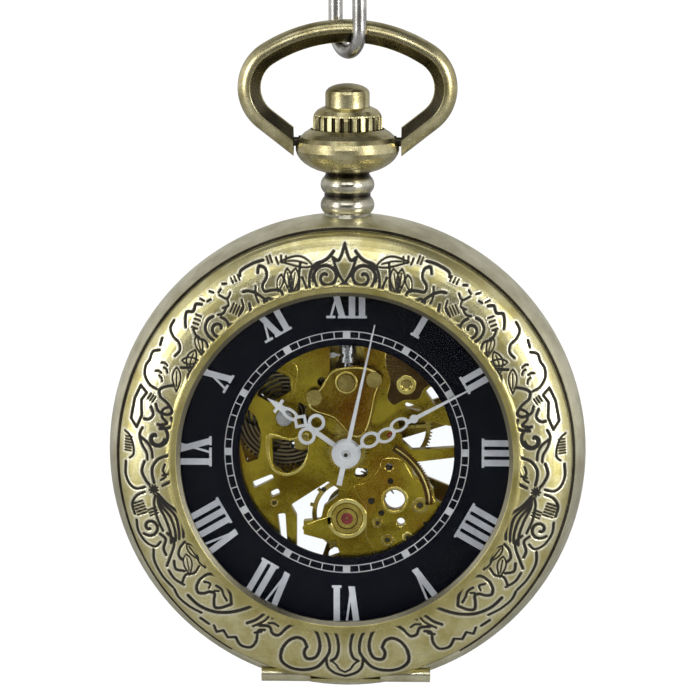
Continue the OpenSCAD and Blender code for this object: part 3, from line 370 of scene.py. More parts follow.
def dress(node, mat):
    o = nodes[node]
    o.data.materials.clear()
    o.data.materials.append(M[mat])
    o.data.shade_smooth()
    if node in BEVEL:
        b = o.modifiers.new("edge", "BEVEL")
        b.width = BEVEL[node] * MM
        b.segments = 2
        b.limit_method = "ANGLE"
        b.angle_limit = math.radians(35)
        b.harden_normals = True
        # Bevel faces of these get the bright edge metal: painted highlight along their edges.
        if node in ("main_plate", "keyless_bridge"):
            o.data.materials.append(M["edge"])
            b.material = 1
    else:
        e = o.modifiers.new("edge", "EDGE_SPLIT")
        e.split_angle = math.radians(32)


for mat, names in DRESS.items():
    for n in names:
        dress(n, mat)

# ---------------------------------------------------------------- engraved cover
def between(a, b, c, d, t):
    """A soft curve from b to c, with a and d as their neighbours."""
    return 0.5 * (2 * b + (c - a) * t + (2 * a - 5 * b + 4 * c - d) * t * t
                  + (3 * b - a - 3 * c + d) * t ** 3)


def smooth(pts, n=8):
    """A soft curve through points."""
    p = [pts[0]] + list(pts) + [pts[-1]]
    out = []
    for i in range(1, len(p) - 2):
        a, b, c, d = (np.array(p[j], float) for j in (i - 1, i, i + 1, i + 2))
        out += [between(a, b, c, d, k / n) for k in range(n)]
    out.append(np.array(p[-2], float))
    return out


STROKES = []


def spot(a, r):
    """Angle from twelve and radius, as a place in the front plane."""
    return np.array([r * math.sin(math.radians(a)), r * math.cos(math.radians(a))])


def line(pts, w=0.24, soft=True):
    p = [spot(a, r) for a, r in pts]
    STROKES.append((smooth(p) if soft else p, w))


def local(a, r, turn):
    """Axes at a place: along the ring, and outward, turned by an angle."""
    u = math.radians(a)
    x, z = np.array([math.cos(u), -math.sin(u)]), np.array([math.sin(u), math.cos(u)])
    c, s = math.cos(math.radians(turn)), math.sin(math.radians(turn))
    return spot(a, r), x * c + z * s, z * c - x * s


def drawn(a, r, turn, pts, w=0.24, soft=True):
    o, x, z = local(a, r, turn)
    p = [o + x * u + z * v for u, v in pts]
    STROKES.append((smooth(p) if soft else p, w))


def scroll(a, r, turn, r0, r1, sweep, hand=1, w=0.26):
    n = max(12, int(abs(sweep) / 14))
    pts = []
    for i in range(n + 1):
        t = i / n
        q = math.radians(sweep * t)
        k = r0 + (r1 - r0) * t ** 0.8
        pts.append((k * math.cos(q) * hand, k * math.sin(q)))
    drawn(a, r, turn, pts, w, False)


def leaf(a, r, turn, length, wide, w=0.13, vein=True, bend=0.0):
    up = [(length * t, wide * math.sin(math.pi * t ** 0.8) + bend * math.sin(math.pi * t))
          for t in (0, 0.15, 0.35, 0.55, 0.75, 0.9, 1)]
    low = [(x, bend * math.sin(math.pi * x / length) * 2 - y) for x, y in up]
    drawn(a, r, turn, up, w)
    drawn(a, r, turn, low, w)
    if vein:
        rib = [(length * 0.18, bend * 0.5), (length * 0.5, bend), (length * 0.78, bend * 0.6)]
        drawn(a, r, turn, rib, w * 0.8)


def hatch(a, r, turn, count, length, gap, w=0.16, fan=0.0):
    for i in range(count):
        k = i - (count - 1) / 2
        drawn(a, r, turn + fan * k, [(k * gap, 0), (k * gap, length)], w, False)


# --- twelve o'clock: a pointed crest over two scrolls
line([(0, 21.2), (0.9, 20.1), (1.9, 19.6), (3.3, 19.9)])
line([(3.3, 19.9), (2.6, 19.0), (1.6, 18.2), (0.35, 17.5), (0, 16.9)])
line([(3.0, 20.5), (4.6, 19.9), (6.2, 19.6), (8.4, 19.4), (10.2, 18.7), (11.2, 17.6), (11.0, 16.7)])
scroll(5.6, 18.05, 100, 0.25, 1.32, -470)
line([(0.5, 17.4), (1.6, 17.1), (2.9, 16.75), (5.3, 16.6), (8, 16.9), (9.3, 17.9), (8.7, 18.9),
      (7, 19.5)], 0.22)
line([(3.3, 19.9), (2.7, 18.9), (2.1, 18.1)], 0.18)
leaf(9.2, 19.3, 16, 3.2, 0.5, bend=0.25)
line([(12.2, 16.5), (12.4, 17.4), (12.9, 18.4)], 0.2)
# --- one o'clock: buds, dashes and a running curve
leaf(14.2, 19.4, -68, 2.5, 0.42)
leaf(16.6, 19.6, -80, 2.3, 0.36)
leaf(18.6, 19.2, -60, 1.7, 0.3, vein=False)
line([(12.6, 19.8), (13.6, 18.8), (14.6, 17.6), (16.2, 17.2), (17.3, 17.9)], 0.22)
hatch(17.6, 20.3, 10, 3, 0.62, 0.36, fan=-14)
hatch(20.6, 20.6, 0, 2, 0.7, 0.34, w=0.14)
line([(22.2, 21.1), (25, 21.2), (28.6, 21.1), (29.6, 20.7)], 0.22)
line([(24.8, 20.2), (23.8, 20.7), (22.5, 20.3), (22.9, 19.5), (25, 18.9), (25.2, 18.3), (23, 18.1),
      (20.7, 17.8), (20.4, 17.2), (22.3, 16.95), (24.2, 17.3)], 0.24)
scroll(25.4, 17.35, 0, 0.1, 0.42, 380, w=0.2)
line([(26.2, 17.6), (27.6, 18.4), (29.4, 19.0), (31, 19.2)], 0.24)
line([(27, 19.1), (28.2, 18.3), (28.4, 17.6)], 0.2)
hatch(31.2, 20.4, 6, 3, 0.5, 0.36, w=0.15)
# --- dots and a tuft
for a, r, t in ((34.4, 20.8, 20), (36.4, 20.5, -30), (38.5, 20.9, 45), (40.4, 20.4, 0),
                (41.8, 20.9, 60)):
    drawn(a, r, t, [(-0.2, 0), (0.2, 0.06)], 0.17, False)
line([(34.2, 19.8), (36, 19.5), (37.2, 20.2)], 0.18)
line([(36, 19.5), (36.8, 18.9), (38.6, 19.0)], 0.18)
hatch(36.8, 17.9, 60, 4, 0.9, 0.3, w=0.15)
line([(31.2, 17.9), (32.4, 17.1), (35, 16.85), (37.6, 16.9), (39.6, 17.2)], 0.26)
line([(32.6, 18.6), (33.4, 17.9), (35.2, 17.6)], 0.2)
line([(37.5, 18.9), (39.4, 18.6), (41, 18.8)], 0.2)
# --- two o'clock: a scroll with a ragged leaf behind
scroll(43.6, 17.75, 205, 0.22, 1.12, -420)
line([(39.8, 17.3), (41, 16.75), (44, 16.55), (46.6, 16.9), (47.6, 17.8), (46.6, 18.7),
      (44.2, 19.1), (42.4, 19.0)], 0.24)
line([(42.6, 20.6), (43.8, 21.0), (45.6, 20.7), (47, 21.1), (48.8, 20.7), (50.2, 20.2)], 0.22)
hatch(46.6, 19.5, -25, 4, 0.55, 0.42, w=0.15)
line([(49.2, 19.5), (50.2, 18.7), (49.4, 17.9), (50.4, 17.3)], 0.2)
leaf(49.8, 18.9, -55, 2.0, 0.36)
# --- a cluster of leaves with ragged outer edge
line([(51, 21.5), (53.2, 21.3), (54.4, 20.6), (54.8, 19.8), (56.4, 19.3), (58.6, 19.4)], 0.2)
leaf(53.6, 18.1, -22, 2.3, 0.45, bend=0.15)
leaf(58.6, 18.6, -120, 1.8, 0.34, vein=False)
line([(52.4, 17.3), (54, 16.9), (57, 17.0), (59.2, 17.6), (60.6, 18.3)], 0.24)
line([(56.6, 21.4), (58.4, 21.2)], 0.2)
line([(59.6, 21.0), (61, 21.5), (63.2, 21.4), (65, 21.5), (67.4, 21.2), (69.2, 20.4),
      (69.6, 19.6)], 0.2)
for a, r, t in ((62, 19.9, 80), (63.4, 19.5, 110), (64.8, 20.1, 70), (66.2, 19.6, 120)):
    drawn(a, r, t, [(-0.3, -0.1), (0, 0.06), (0.3, 0)], 0.17, False)
leaf(61.2, 18.7, -28, 2.4, 0.4)
line([(61.2, 17.4), (62.6, 17.2)], 0.2)
line([(66.6, 18.2), (68, 18.9), (69.6, 19.3), (71.4, 19.0)], 0.24)
# --- three o'clock: a knot, a folded band and a scroll
line([(70.4, 21.2), (74.2, 21.4), (79.6, 21.3), (81.6, 20.6), (78, 20.3), (74, 20.7), (71.6, 20.4),
      (70.4, 21.2)], 0.2, False)
hatch(71.6, 19.7, -75, 3, 0.6, 0.28, w=0.14)
line([(71.4, 19.0), (72.6, 18.1), (74.6, 17.5), (76, 17.9), (75.6, 18.8), (73.8, 19.2)], 0.24)
line([(73.4, 17.9), (74.9, 18.4), (77, 18.3), (78.6, 17.7), (79.4, 18.2)], 0.22)
line([(75, 19.6), (77, 19.2), (78.6, 19.5), (78.8, 20.0)], 0.22)
line([(76.6, 17.4), (78.6, 17.1), (80, 17.5), (80.8, 18.3)], 0.24)
scroll(83.6, 18.5, 150, 0.3, 1.3, -330)
scroll(83.8, 18.5, 170, 0.2, 0.78, -260, w=0.2)
line([(84.2, 20.0), (85.6, 19.3), (87.6, 18.9), (89.8, 18.8)], 0.22)
line([(81.4, 20.0), (83.4, 20.2), (86, 19.9), (88.4, 19.4), (90.4, 19.3)], 0.2)
line([(83.2, 21.75), (84.2, 21.2), (86.4, 20.8), (89, 20.7), (90.2, 21.1)], 0.15)
hatch(86.4, 20.95, 0, 6, 0.66, 0.28, w=0.1)
# --- a flower with a fan of long petals
line([(88.8, 17.2), (90.4, 16.9), (93, 16.95), (95, 17.2), (96.2, 16.7), (97.6, 17.2),
      (98.6, 18.0)], 0.24)
line([(89, 17.3), (90.2, 18.2), (92.6, 18.8), (95, 18.9), (97.4, 18.8)], 0.24)
line([(92, 17.6), (94, 17.8), (95.8, 17.6), (96.8, 18.1)], 0.18)
line([(95, 17.2), (95.4, 17.9)], 0.16)
line([(91.2, 21.5), (94.6, 21.6), (97.2, 21.3), (98.6, 20.7), (98.4, 19.8)], 0.2)
line([(91, 19.6), (93.8, 19.9), (96.4, 19.6), (97.8, 19.3)], 0.22)
line([(99.8, 19.9), (100.6, 20.8), (102.6, 21.4), (105.4, 21.4)], 0.2)
for i in range(9):
    q = 40 * i
    drawn(99.4, 18.95, q, [(0.12, 0), (0.42, 0.08)], 0.15, False)
for r1, r2, r3 in ((17.9, 16.95, 17.15), (18.2, 17.4, 17.6), (18.5, 17.9, 18.0),
                   (18.7, 18.4, 18.5)):
    line([(101.0, 18.6), (104.2, r1 + 0.1), (108.6, r2 + 0.15), (113.4, r3 + 0.1),
          (116.2, r3 + 0.45)], 0.22)
hatch(103.8, 20.2, -8, 5, 1.0, 0.3, w=0.14)
hatch(105.6, 19.1, -8, 3, 0.8, 0.3, w=0.14)
line([(101.2, 18.9), (103.6, 19.2), (108, 19.3), (112, 19.2)], 0.2)
# --- four o'clock: a small scroll and crossing stems
scroll(109.8, 20.3, 20, 0.18, 0.95, 400, w=0.24)
line([(107, 21.4), (110, 21.6), (113.4, 21.3), (115.4, 20.6), (114.8, 19.9)], 0.2)
line([(112.6, 19.6), (114.6, 19.3), (116.8, 19.9), (118.8, 20.0)], 0.22)
line([(113.2, 18.9), (115.6, 18.6), (117.6, 18.9), (120, 19.8), (121.6, 20.5)], 0.22)
line([(116, 20.9), (119, 21.4), (123.6, 21.5), (127.4, 21.3)], 0.2)
line([(117.8, 17.7), (118.8, 18.4), (120.6, 18.9), (122.4, 18.8)], 0.22)
leaf(118.6, 17.6, -8, 1.9, 0.36)
leaf(121.4, 18.2, 22, 2.1, 0.42)
leaf(123.2, 17.2, 4, 1.6, 0.3, vein=False)
line([(121.4, 19.6), (123.6, 19.9), (125.4, 19.3)], 0.22)
line([(126.8, 17.8), (127.6, 18.6), (126.6, 19.4), (127.8, 20.2)], 0.2)
line([(123, 20.6), (125.8, 20.6), (128.6, 20.2)], 0.2)
# --- five o'clock: a large broad leaf above a long border line
line([(130.2, 18.6), (130.4, 17.7), (131.8, 17.2), (134.4, 17.0), (137.4, 17.1), (140.2, 17.5),
      (142.4, 18.2)], 0.24)
line([(130.2, 18.6), (131.2, 19.3), (132.8, 19.6), (134.2, 19.2), (135, 18.7), (136.4, 18.5),
      (137.6, 19.0), (139.2, 19.5), (140.8, 19.1), (142.4, 18.2)], 0.24)
line([(131.6, 18.4), (133.2, 18.1), (134, 18.5)], 0.18)
line([(135, 17.8), (137, 17.7), (138.8, 18.0), (140.6, 18.2)], 0.2)
line([(135.8, 18.3), (136.8, 18.0)], 0.16)
line([(128, 21.3), (130.6, 21.5), (134.2, 21.3), (137.6, 20.9)], 0.2)
line([(131.6, 20.6), (135.6, 20.5), (140, 19.9), (144, 18.8), (147.6, 17.4), (149.4, 16.5)], 0.26)
line([(138.4, 21.4), (141, 21.3)], 0.22)
line([(142.4, 21.1), (144, 21.5), (145.2, 20.9), (147.2, 21.3), (149, 20.8)], 0.2, False)
# --- wing at half past five
line([(149, 20.8), (151.2, 21.3), (153.8, 21.0), (154.4, 20.1), (153.6, 19.1), (155.2, 18.7)], 0.22)
line([(149.6, 18.9), (151.4, 18.2), (152.8, 17.3)], 0.24)
line([(151.6, 18.9), (152.8, 18.4), (154.2, 17.7), (154.6, 16.9)], 0.18)
line([(153.2, 18.5), (156, 18.2), (157.8, 18.7), (159.8, 18.6), (161, 17.8)], 0.24)
line([(155.4, 17.9), (157, 17.7), (158.6, 17.8)], 0.18)
line([(155.8, 17.3), (157.2, 17.0)], 0.18)
line([(153, 19.4), (154.6, 19.0)], 0.2)
# --- six o'clock: two great scrolls beside a bell-shaped stem
line([(161, 17.8), (162.6, 17.2), (165.4, 16.7), (168.8, 16.8), (171.4, 17.6), (172.6, 18.8),
      (171.8, 19.9), (169.4, 20.2), (168.3, 19.6), (168.8, 19.0)], 0.26)
line([(168.8, 19.0), (167.4, 18.4), (165.2, 18.3), (163, 18.9), (162, 20.0), (162.8, 21.1),
      (165.6, 21.6), (169.2, 21.5), (172.6, 20.9), (174.8, 19.8)], 0.26)
line([(169.6, 16.35), (172.4, 16.8), (174.8, 17.8), (175.6, 19.0), (174.8, 19.8)], 0.24)
line([(172.8, 16.3), (175.8, 16.7), (177.6, 17.6), (178.2, 18.8), (177.6, 19.7), (176.2, 20.1)],
     0.24)
line([(174.8, 19.9), (175.4, 20.8), (177.2, 21.4), (180, 21.75)], 0.22)
line([(176.2, 20.1), (177.6, 20.5), (178.6, 21.0), (180, 21.3)], 0.16)


LID_PROFILE = [(16.99, -7.4), (17.2, -7.36), (17.5, -7.24), (17.9, -7.2), (18.6, -7.1),
               (19.3, -6.98), (19.9, -6.82), (20.5, -6.62), (21.05, -6.36), (21.5, -6.08),
               (21.85, -5.78), (22.08, -5.5), (22.2, -5.2)]  # radius and height in mm
GROOVE, BURR = 0.085, 0.018  # the engraving's depth and raised lip, in mm
STROKE_GAIN, STROKE_MORE = 1.2, 0.04  # a cut is wider than the stroke drawn for it


def lid_grid():
    """The cover's front face as a fine ring grid, its grooves cut below the surface."""
    around, across = ((1500, 112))
    prof = np.array(LID_PROFILE)
    step = np.concatenate([[0], np.cumsum(np.hypot(*np.diff(prof, axis=0).T))])
    s = np.linspace(0, step[-1], across)
    r, y = np.interp(s, step, prof[:, 0]), np.interp(s, step, prof[:, 1])
    k = np.ones(5) / 5
    y[2:-2] = np.convolve(y, k, "valid")
    ang = np.arange(around) / around * 2 * math.pi
    x, z = r[:, None] * np.sin(ang), r[:, None] * np.cos(ang)
    gap = np.full(x.shape, 9.0)
    half = np.full(x.shape, 0.12)
    for pts, w in STROKES:
        p, w = np.array(pts), w * STROKE_GAIN + STROKE_MORE
        for side in (1, -1):
            q = p * (side, 1)
            for a, b in zip(q[:-1], q[1:]):
                mid = (a + b) / 2
                reach = np.hypot(*(b - a)) / 2 + 0.5
                rm = np.hypot(*mid)
                rows = np.nonzero((r > rm - reach) & (r < rm + reach))[0]
                if not len(rows):
                    continue
                c = math.atan2(mid[0], mid[1]) / (2 * math.pi) * around
                d = int(reach / rm / (2 * math.pi) * around) + 2
                cols = np.arange(int(c) - d, int(c) + d + 1) % around
                ix = np.ix_(rows, cols)
                px, pz = x[ix] - a[0], z[ix] - a[1]
                ab = b - a
                t = np.clip((px * ab[0] + pz * ab[1]) / max(1e-9, ab @ ab), 0, 1)
                dist = np.hypot(px - t * ab[0], pz - t * ab[1]) - w / 2
                near = dist < gap[ix]
                g, h = gap[ix], half[ix]
                g[near] = dist[near]
                h[near] = w / 2
                gap[ix], half[ix] = g, h
    rim = np.clip((s - 0.15) / 0.2, 0, 1)[:, None]
    rim = rim * np.clip((s[-1] - 0.1 - s) / 0.2, 0, 1)[:, None]
    cut = np.clip(-gap / half * 1.25 + 0.12, 0, 1)
    depth = GROOVE * np.sin(cut * math.pi / 2) * rim
    lip = BURR * np.exp(-((gap - 0.07) / 0.045) ** 2) * rim
    groove_dark = np.clip((0.035 - gap) / 0.05, 0, 1) * rim
    tang = np.gradient(np.stack([r, y]), axis=1)
    tang /= np.hypot(*tang)
    nr, ny = -tang[1], tang[0]
    off = depth - lip + BURR
    rr = r[:, None] - off * np.abs(nr[:, None])
    yy = y[:, None] + off * np.abs(ny[:, None])
    pts = np.stack([rr * np.sin(ang), yy, rr * np.cos(ang)], -1).reshape(-1, 3)
    i = np.arange(across - 1)[:, None] * around
    j = np.arange(around)[None, :]
    j2 = (j + 1) % around
    faces = np.stack([i + j, i + j2, i + around + j2, i + around + j], -1).reshape(-1, 4)
    # Painted highlight: weight of the bright band just outside each cut.
    cut_highlight = np.exp(-((gap - 0.1) / 0.09) ** 2)
    return pts, faces, groove_dark.reshape(-1), cut_highlight.reshape(-1)


def engraved_lid():
    """The CAD cover with its front face exchanged for the engraved grid."""
    src = nodes["front_lid"]
    bm = bmesh.new()
    bm.from_mesh(src.data)
    bm.transform(src.matrix_world)
    drop = []
    for f in bm.faces:
        keep = False
        for v in f.verts:
            rv = math.hypot(v.co.x, v.co.z + EYE * MM) / MM
            yv = v.co.y / MM - LIFT
            if rv < 16.93 or yv > -5.19:
                keep = True
        front = f.normal.y < -0.05 or f.normal.length == 0
        c = f.calc_center_median()
        out = Vector((c.x, 0, c.z + EYE * MM)).normalized()
        if not keep and (front or f.normal.dot(out) > 0.2):
            drop.append(f)
    bmesh.ops.delete(bm, geom=drop, context="FACES")
    me = bpy.data.meshes.new("lid_body")
    bm.to_mesh(me)
    bm.free()
    pts, faces, groove_dark, cut_highlight = lid_grid()
    pts = pts * MM + np.array([0, LIFT * MM, -EYE * MM])
    base_v = np.array([v.co[:] for v in me.vertices])
    base_f = [tuple(p.vertices) for p in me.polygons]
    n0 = len(base_v)
    out = bpy.data.meshes.new("cover_engraved")
    verts = np.concatenate([base_v, pts]).tolist()
    out.from_pydata(verts, [], base_f + (faces + n0).tolist())
    for name, vals in (("groove_dark", groove_dark), ("cut_highlight", cut_highlight)):
        a = out.attributes.new(name, "FLOAT", "POINT")
        a.data.foreach_set("value", np.concatenate([np.zeros(n0), vals]).astype(np.float32))
    o = bpy.data.objects.new("cover_engraved", out)
    scene.collection.objects.link(o)
    out.materials.append(M["lid"])
    out.shade_smooth()
    e = o.modifiers.new("edge", "EDGE_SPLIT")
    e.split_angle = math.radians(50)
    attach(o, "lid")
    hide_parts("front_lid")


engraved_lid()

# ---------------------------------------------------------------- bow
def datum(x, y, z):
    """A place in the part's own millimetres, from the case's centre."""
    return Vector((x * MM, (y + LIFT) * MM, (z - EYE) * MM))


def plain_mesh(name, verts, faces, mat):
    """An object with one material, from points and faces."""
    me = bpy.data.meshes.new(name)
    me.from_pydata(verts, [], faces)
    o = bpy.data.objects.new(name, me)
    scene.collection.objects.link(o)
    me.materials.append(mat)
    return o


def swept_bow():
    """The bow as one smooth wire, its inner edges chamfered, its ends bored for the pins."""
    top, rt = (0, 26.9), 14.5  # centre and radius of the top arc
    side, rs, low = (5.75, 35.805), 3.9, -52  # and of the side arcs, with their low end
    cut, pin, bore, bore_end = 5.3, 30.5, 0.5, 6.35
    chamfer_at, chamfer = 48, 0.80
    turn = math.degrees(math.atan2(side[1] - top[1], side[0]))
    path = []
    for k in range(25):
        a = math.radians(90 + (turn - 90) * k / 24)
        path.append((top[0] + rt * math.cos(a), top[1] + rt * math.sin(a), a))
    for k in range(1, 37):
        a = math.radians(turn + (low - turn) * k / 36)
        path.append((side[0] + rs * math.cos(a), side[1] + rs * math.sin(a), a))
    path = [(-x, z, math.pi - a) for x, z, a in path[:0:-1]] + path
    n, wire = 48, 1.14
    sect = []
    for k in range(n):
        q = 2 * math.pi * (k + 0.5) / n
        u, v = wire * math.cos(q), wire * math.sin(q)
        for sgn in (-1, 1):
            flat = math.radians(180 - sgn * chamfer_at)
            c, d = math.cos(flat), math.sin(flat)
            over = u * c + v * d - wire * chamfer
            if over > 0:
                u, v = u - c * over, v - d * over
        sect.append((u, v))
    rings = [[(x + u * math.cos(a), v, z + u * math.sin(a)) for u, v in sect]
             for x, z, a in path]

    def ending(ring, a, sgn):
        """Rings that cut a wire's end upright and bore it for its pin."""
        tx, tz = math.sin(a) * sgn, -math.cos(a) * sgn
        lap = [(x + tx * (sgn * cut - x) / tx, v, z + tz * (sgn * cut - x) / tx)
               for x, v, z in ring]
        turns = [math.atan2(z - pin, v) for x, v, z in lap]
        hole = [(bore * math.cos(t), bore * math.sin(t)) for t in turns]
        mid = [(sgn * cut, v * 0.9, pin + (z - pin) * 0.9) for x, v, z in lap]
        return [lap, mid] + [[(sgn * x, v, pin + w) for v, w in hole] for x in (cut, bore_end)]

    right_end = ending(rings[-1], path[-1][2], 1)
    left_end = ending(rings[0], path[0][2], -1)
    rings = left_end[::-1] + rings + right_end
    verts = [datum(*p) - Vector((0, LIFT * MM, 0)) for r in rings for p in r]
    faces = [(k * n + i, k * n + (i + 1) % n, (k + 1) * n + (i + 1) % n, (k + 1) * n + i)
             for k in range(len(rings) - 1) for i in range(n)]
    faces += [tuple(range(n)), tuple(range(len(verts) - n, len(verts)))]
    o = plain_mesh("bow_wire", verts, faces, M["pendant"])
    # Painted shade: the chamfered inner faces are marked in 'shade', drawn near black by the pendant brass.
    tone = np.zeros((len(rings), n), np.float32)
    for k in range(n):
        q = 360 * (k + 0.5) / n
        if min(abs(q - 132), abs(q - 228)) < 34:
            tone[:, k] = 1.0
    a = o.data.attributes.new("shade", "FLOAT", "POINT")
    a.data.foreach_set("value", tone.reshape(-1))
    bm = bmesh.new()
    bm.from_mesh(o.data)
    bmesh.ops.recalc_face_normals(bm, faces=bm.faces)
    bm.to_mesh(o.data)
    bm.free()
    o.data.shade_smooth()
    e = o.modifiers.new("edge", "EDGE_SPLIT")
    e.split_angle = math.radians(24)
    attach(o, "bow")
    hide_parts("bow")


swept_bow()


# ---------------------------------------------------------------- relief on the movement
def ringed(x, z, r, n=28):
    """A circle's outline."""
    turns = [2 * math.pi * i / n for i in range(n)]
    return [(x + r * math.cos(t), z + r * math.sin(t)) for t in turns]


def closed(pts, n=6):
    """A soft closed outline through points."""
    p = [np.array(q, float) for q in pts]
    m, out = len(p), []
    for i in range(m):
        a, b, c, d = p[i - 1], p[i], p[(i + 1) % m], p[(i + 2) % m]
        out += [tuple(between(a, b, c, d, k / n)) for k in range(n)]
    return out


def relief(name, outlines, base, thick, mat, soft=0.035, body="case"):
    """A thin shape on the movement's front, its outlines in the front plane, edges rounded."""
    cu = bpy.data.curves.new(name, "CURVE")
    cu.dimensions = "2D"
    cu.fill_mode = "BOTH"
    cu.extrude = (thick / 2 - soft) * MM
    cu.bevel_depth = soft * MM
    cu.bevel_resolution = 1
    cu.offset = -soft * MM
    for pts in outlines:
        sp = cu.splines.new("POLY")
        sp.points.add(len(pts) - 1)
        for q, (x, z) in zip(sp.points, pts):
            q.co = (x * MM, z * MM, 0, 1)
        sp.use_cyclic_u = True
    tmp = bpy.data.objects.new(name + "_curve", cu)
    me = bpy.data.meshes.new_from_object(tmp)
    bpy.data.objects.remove(tmp)
    for v in me.vertices:
        x, z, h = v.co
        v.co = (x, (base - thick / 2 + LIFT) * MM - h, z - EYE * MM)
    o = bpy.data.objects.new(name, me)
    scene.collection.objects.link(o)
    me.materials.clear()
    me.materials.append(M[mat])
    # Side faces get the bright edge metal: painted highlight round the outline.
    if mat in ("plate", "brown"):
        me.materials.append(M["edge"])
        for f in me.polygons:
            f.material_index = 0 if abs(f.normal.y) > 0.95 else 1
    me.shade_smooth()
    e = o.modifiers.new("edge", "EDGE_SPLIT")
    e.split_angle = math.radians(40)
    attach(o, body)
    return o


FACE = -1.2  # the plate's front, in mm before the case's mid-plane
LOBE = 0.16  # how far the gilt lobe stands on it
KEYLESS_FACE, HUB_FACE, SEAM_FACE = -2.2, -4.26, -4.2
RIM_AT = (1.4, -5.6)  # centre of the dark rim's arc


def arc(x, z, r, degrees):
    """Part of a circle's outline."""
    return [(x + r * math.cos(math.radians(a)), z + r * math.sin(math.radians(a))) for a in degrees]


def seat_at(x):
    """The face a small part stands on: the lobe's at the right, else the plate's."""
    return FACE - (LOBE if x > 1.9 else 0)


relief("gilt_lobe", [closed([(4.6, -0.7), (5.6, -1.1), (6.5, -2.6), (7.5, -3.3), (8.5, -4.6),
                             (9.0, -6.0), (8.6, -7.9), (7.4, -9.2), (5.4, -10.1), (3.2, -10.2),
                             (2.3, -9.3), (1.85, -8.2), (1.9, -5.7), (1.2, -4.7)] + arc(0, 0, 3.6, range(-79, -13, 13))),
                     ringed(4.7, -4.9, 1.08), ringed(5.3, -7.1, 0.46), ringed(4.15, -1.6, 0.4)], FACE, LOBE, "plate")
# Thin rings in the bright edge metal are painted highlights round the lobe, bridges, bosses and seats.
relief("gilt_lobe_rim", [ringed(4.7, -4.9, 1.35), ringed(4.7, -4.9, 1.1)], FACE - LOBE, 0.05,
       "edge", 0.02)
keyless = closed([(-3.75, 4.9), (-3.1, 4.0), (-1.2, 3.35), (0.55, 1.55), (1.75, 1.8), (2.35, 3.4),
                  (2.85, 5.8), (3.4, 7.35), (2.55, 8.15), (0.9, 8.42), (-1.35, 8.05),
                  (-2.5, 6.35)], 4)
cx, cz = (sum(p[i] for p in keyless) / len(keyless) for i in (0, 1))
relief("keyless_rim", [keyless, [(cx + (x - cx) * 0.955, cz + (z - cz) * 0.955) for x,
                                 z in keyless]], KEYLESS_FACE, 0.05, "edge", 0.015)
relief("keyless_boss", [ringed(-0.03, 6.9, 1.1), ringed(-0.03, 6.9, 0.92)], KEYLESS_FACE, 0.06,
       "edge", 0.02)
relief("hub_ring", [ringed(0, 0, 0.62), ringed(0, 0, 0.5)], HUB_FACE, 0.06, "silver", 0.02,
       "fourth")
relief("hub_dot", [ringed(0, 0, 0.2)], HUB_FACE, 0.02, "dark", 0.006, "fourth")
relief("balance_seat", [ringed(0, -6.8, 2.0), ringed(0, -6.8, 1.6)], FACE, 0.12, "edge")
relief("spring_window_rim", [closed([(-7.9, 1.5), (-5.5, 1.15), (-4.0, 1.75), (-3.78, 0.9),
                                     (-4.2, -1.6), (-6.0, -2.6), (-7.65, -1.6)]),
                             closed([(-7.5, 1.25), (-5.6, 0.95), (-4.15, 1.4), (-3.8, 0.2), (-4.45, -1.5), (-6.0, -2.35), (-7.4, -1.45)])], FACE, 0.07, "edge", 0.02)
relief("spring_step", [closed([(-8.4, 8.4), (-6.0, 9.0), (-4.9, 8.2), (-5.1, 6.2), (-5.3, 5.5),
                               (-5.45, 6.2), (-5.6, 7.4), (-7.2, 8.05), (-8.8, 7.2),
                               (-9.3, 7.3)])], FACE, 0.14, "plate")
relief("brown_bridge", [closed([(4.0, 9.9), (6.0, 8.8), (8.2, 7.0), (7.6, 6.2), (7.0, 5.2),
                                (5.6, 5.05), (4.6, 4.6), (3.95, 5.4), (4.25, 7.0), (3.8, 8.6)]),
                                ringed(5.85, 6.6, 0.42)], FACE, 0.3, "brown")
relief("brown_boss", [ringed(5.85, 6.6, 0.95), ringed(5.85, 6.6, 0.55)], FACE - 0.3, 0.08, "edge",
       0.025)
relief("brown_boss_screw", [ringed(5.85, 6.6, 0.42)], FACE, 0.2, "screw")
rim = []
for i in range(57):
    a = math.radians(62 - 60 * i / 56)
    k = 7.3 if i % 2 else 7.05
    rim.append((RIM_AT[0] + k * math.cos(a), RIM_AT[1] + k * math.sin(a)))
rim += arc(*RIM_AT, 6.35, range(2, 63, 4))
relief("dark_rim", [rim], FACE, 0.24, "brown", 0.02)
rim_line = arc(*RIM_AT, 6.85, range(60, 3, -3)) + arc(*RIM_AT, 6.7, range(3, 61, 3))
relief("dark_rim_line", [rim_line], FACE - 0.24, 0.04, "edge", 0.012)
BOSSES = ((7.2, -5.4, 0.8, "screw"), (6.0, -8.6, 0.55, "edge"), (4.0, -8.9, 0.62, "screw"),
          (-9.2, 6.0, 0.5, "screw"), (3.0, -7.2, 0.5, "screw"), (-7.2, -5.3, 0.4, "screw"))
# Painted shade: flat near-black discs stand for the dark inside of holes, in the bosses and on their own.
HOLE_SHADES = ((4.3, -3.0, 0.3), (2.4, -5.0, 0.34), (3.4, -6.2, 0.3), (7.7, -7.2, 0.2), (-2.3, -3.9, 0.25))
for i, (x, z, r, finish) in enumerate(BOSSES):
    ring = [ringed(x, z, r), ringed(x, z, r * 0.62)]
    relief("boss_%d" % i, ring, seat_at(x), 0.08, finish, 0.025)
    relief("boss_pit_%d" % i, [ringed(x, z, r * 0.4)], seat_at(x), 0.03, "dark", 0.01)
for i, (x, z, r) in enumerate(HOLE_SHADES):
    relief("pit_%d" % i, [ringed(x, z, r)], seat_at(x), 0.03, "dark", 0.01)
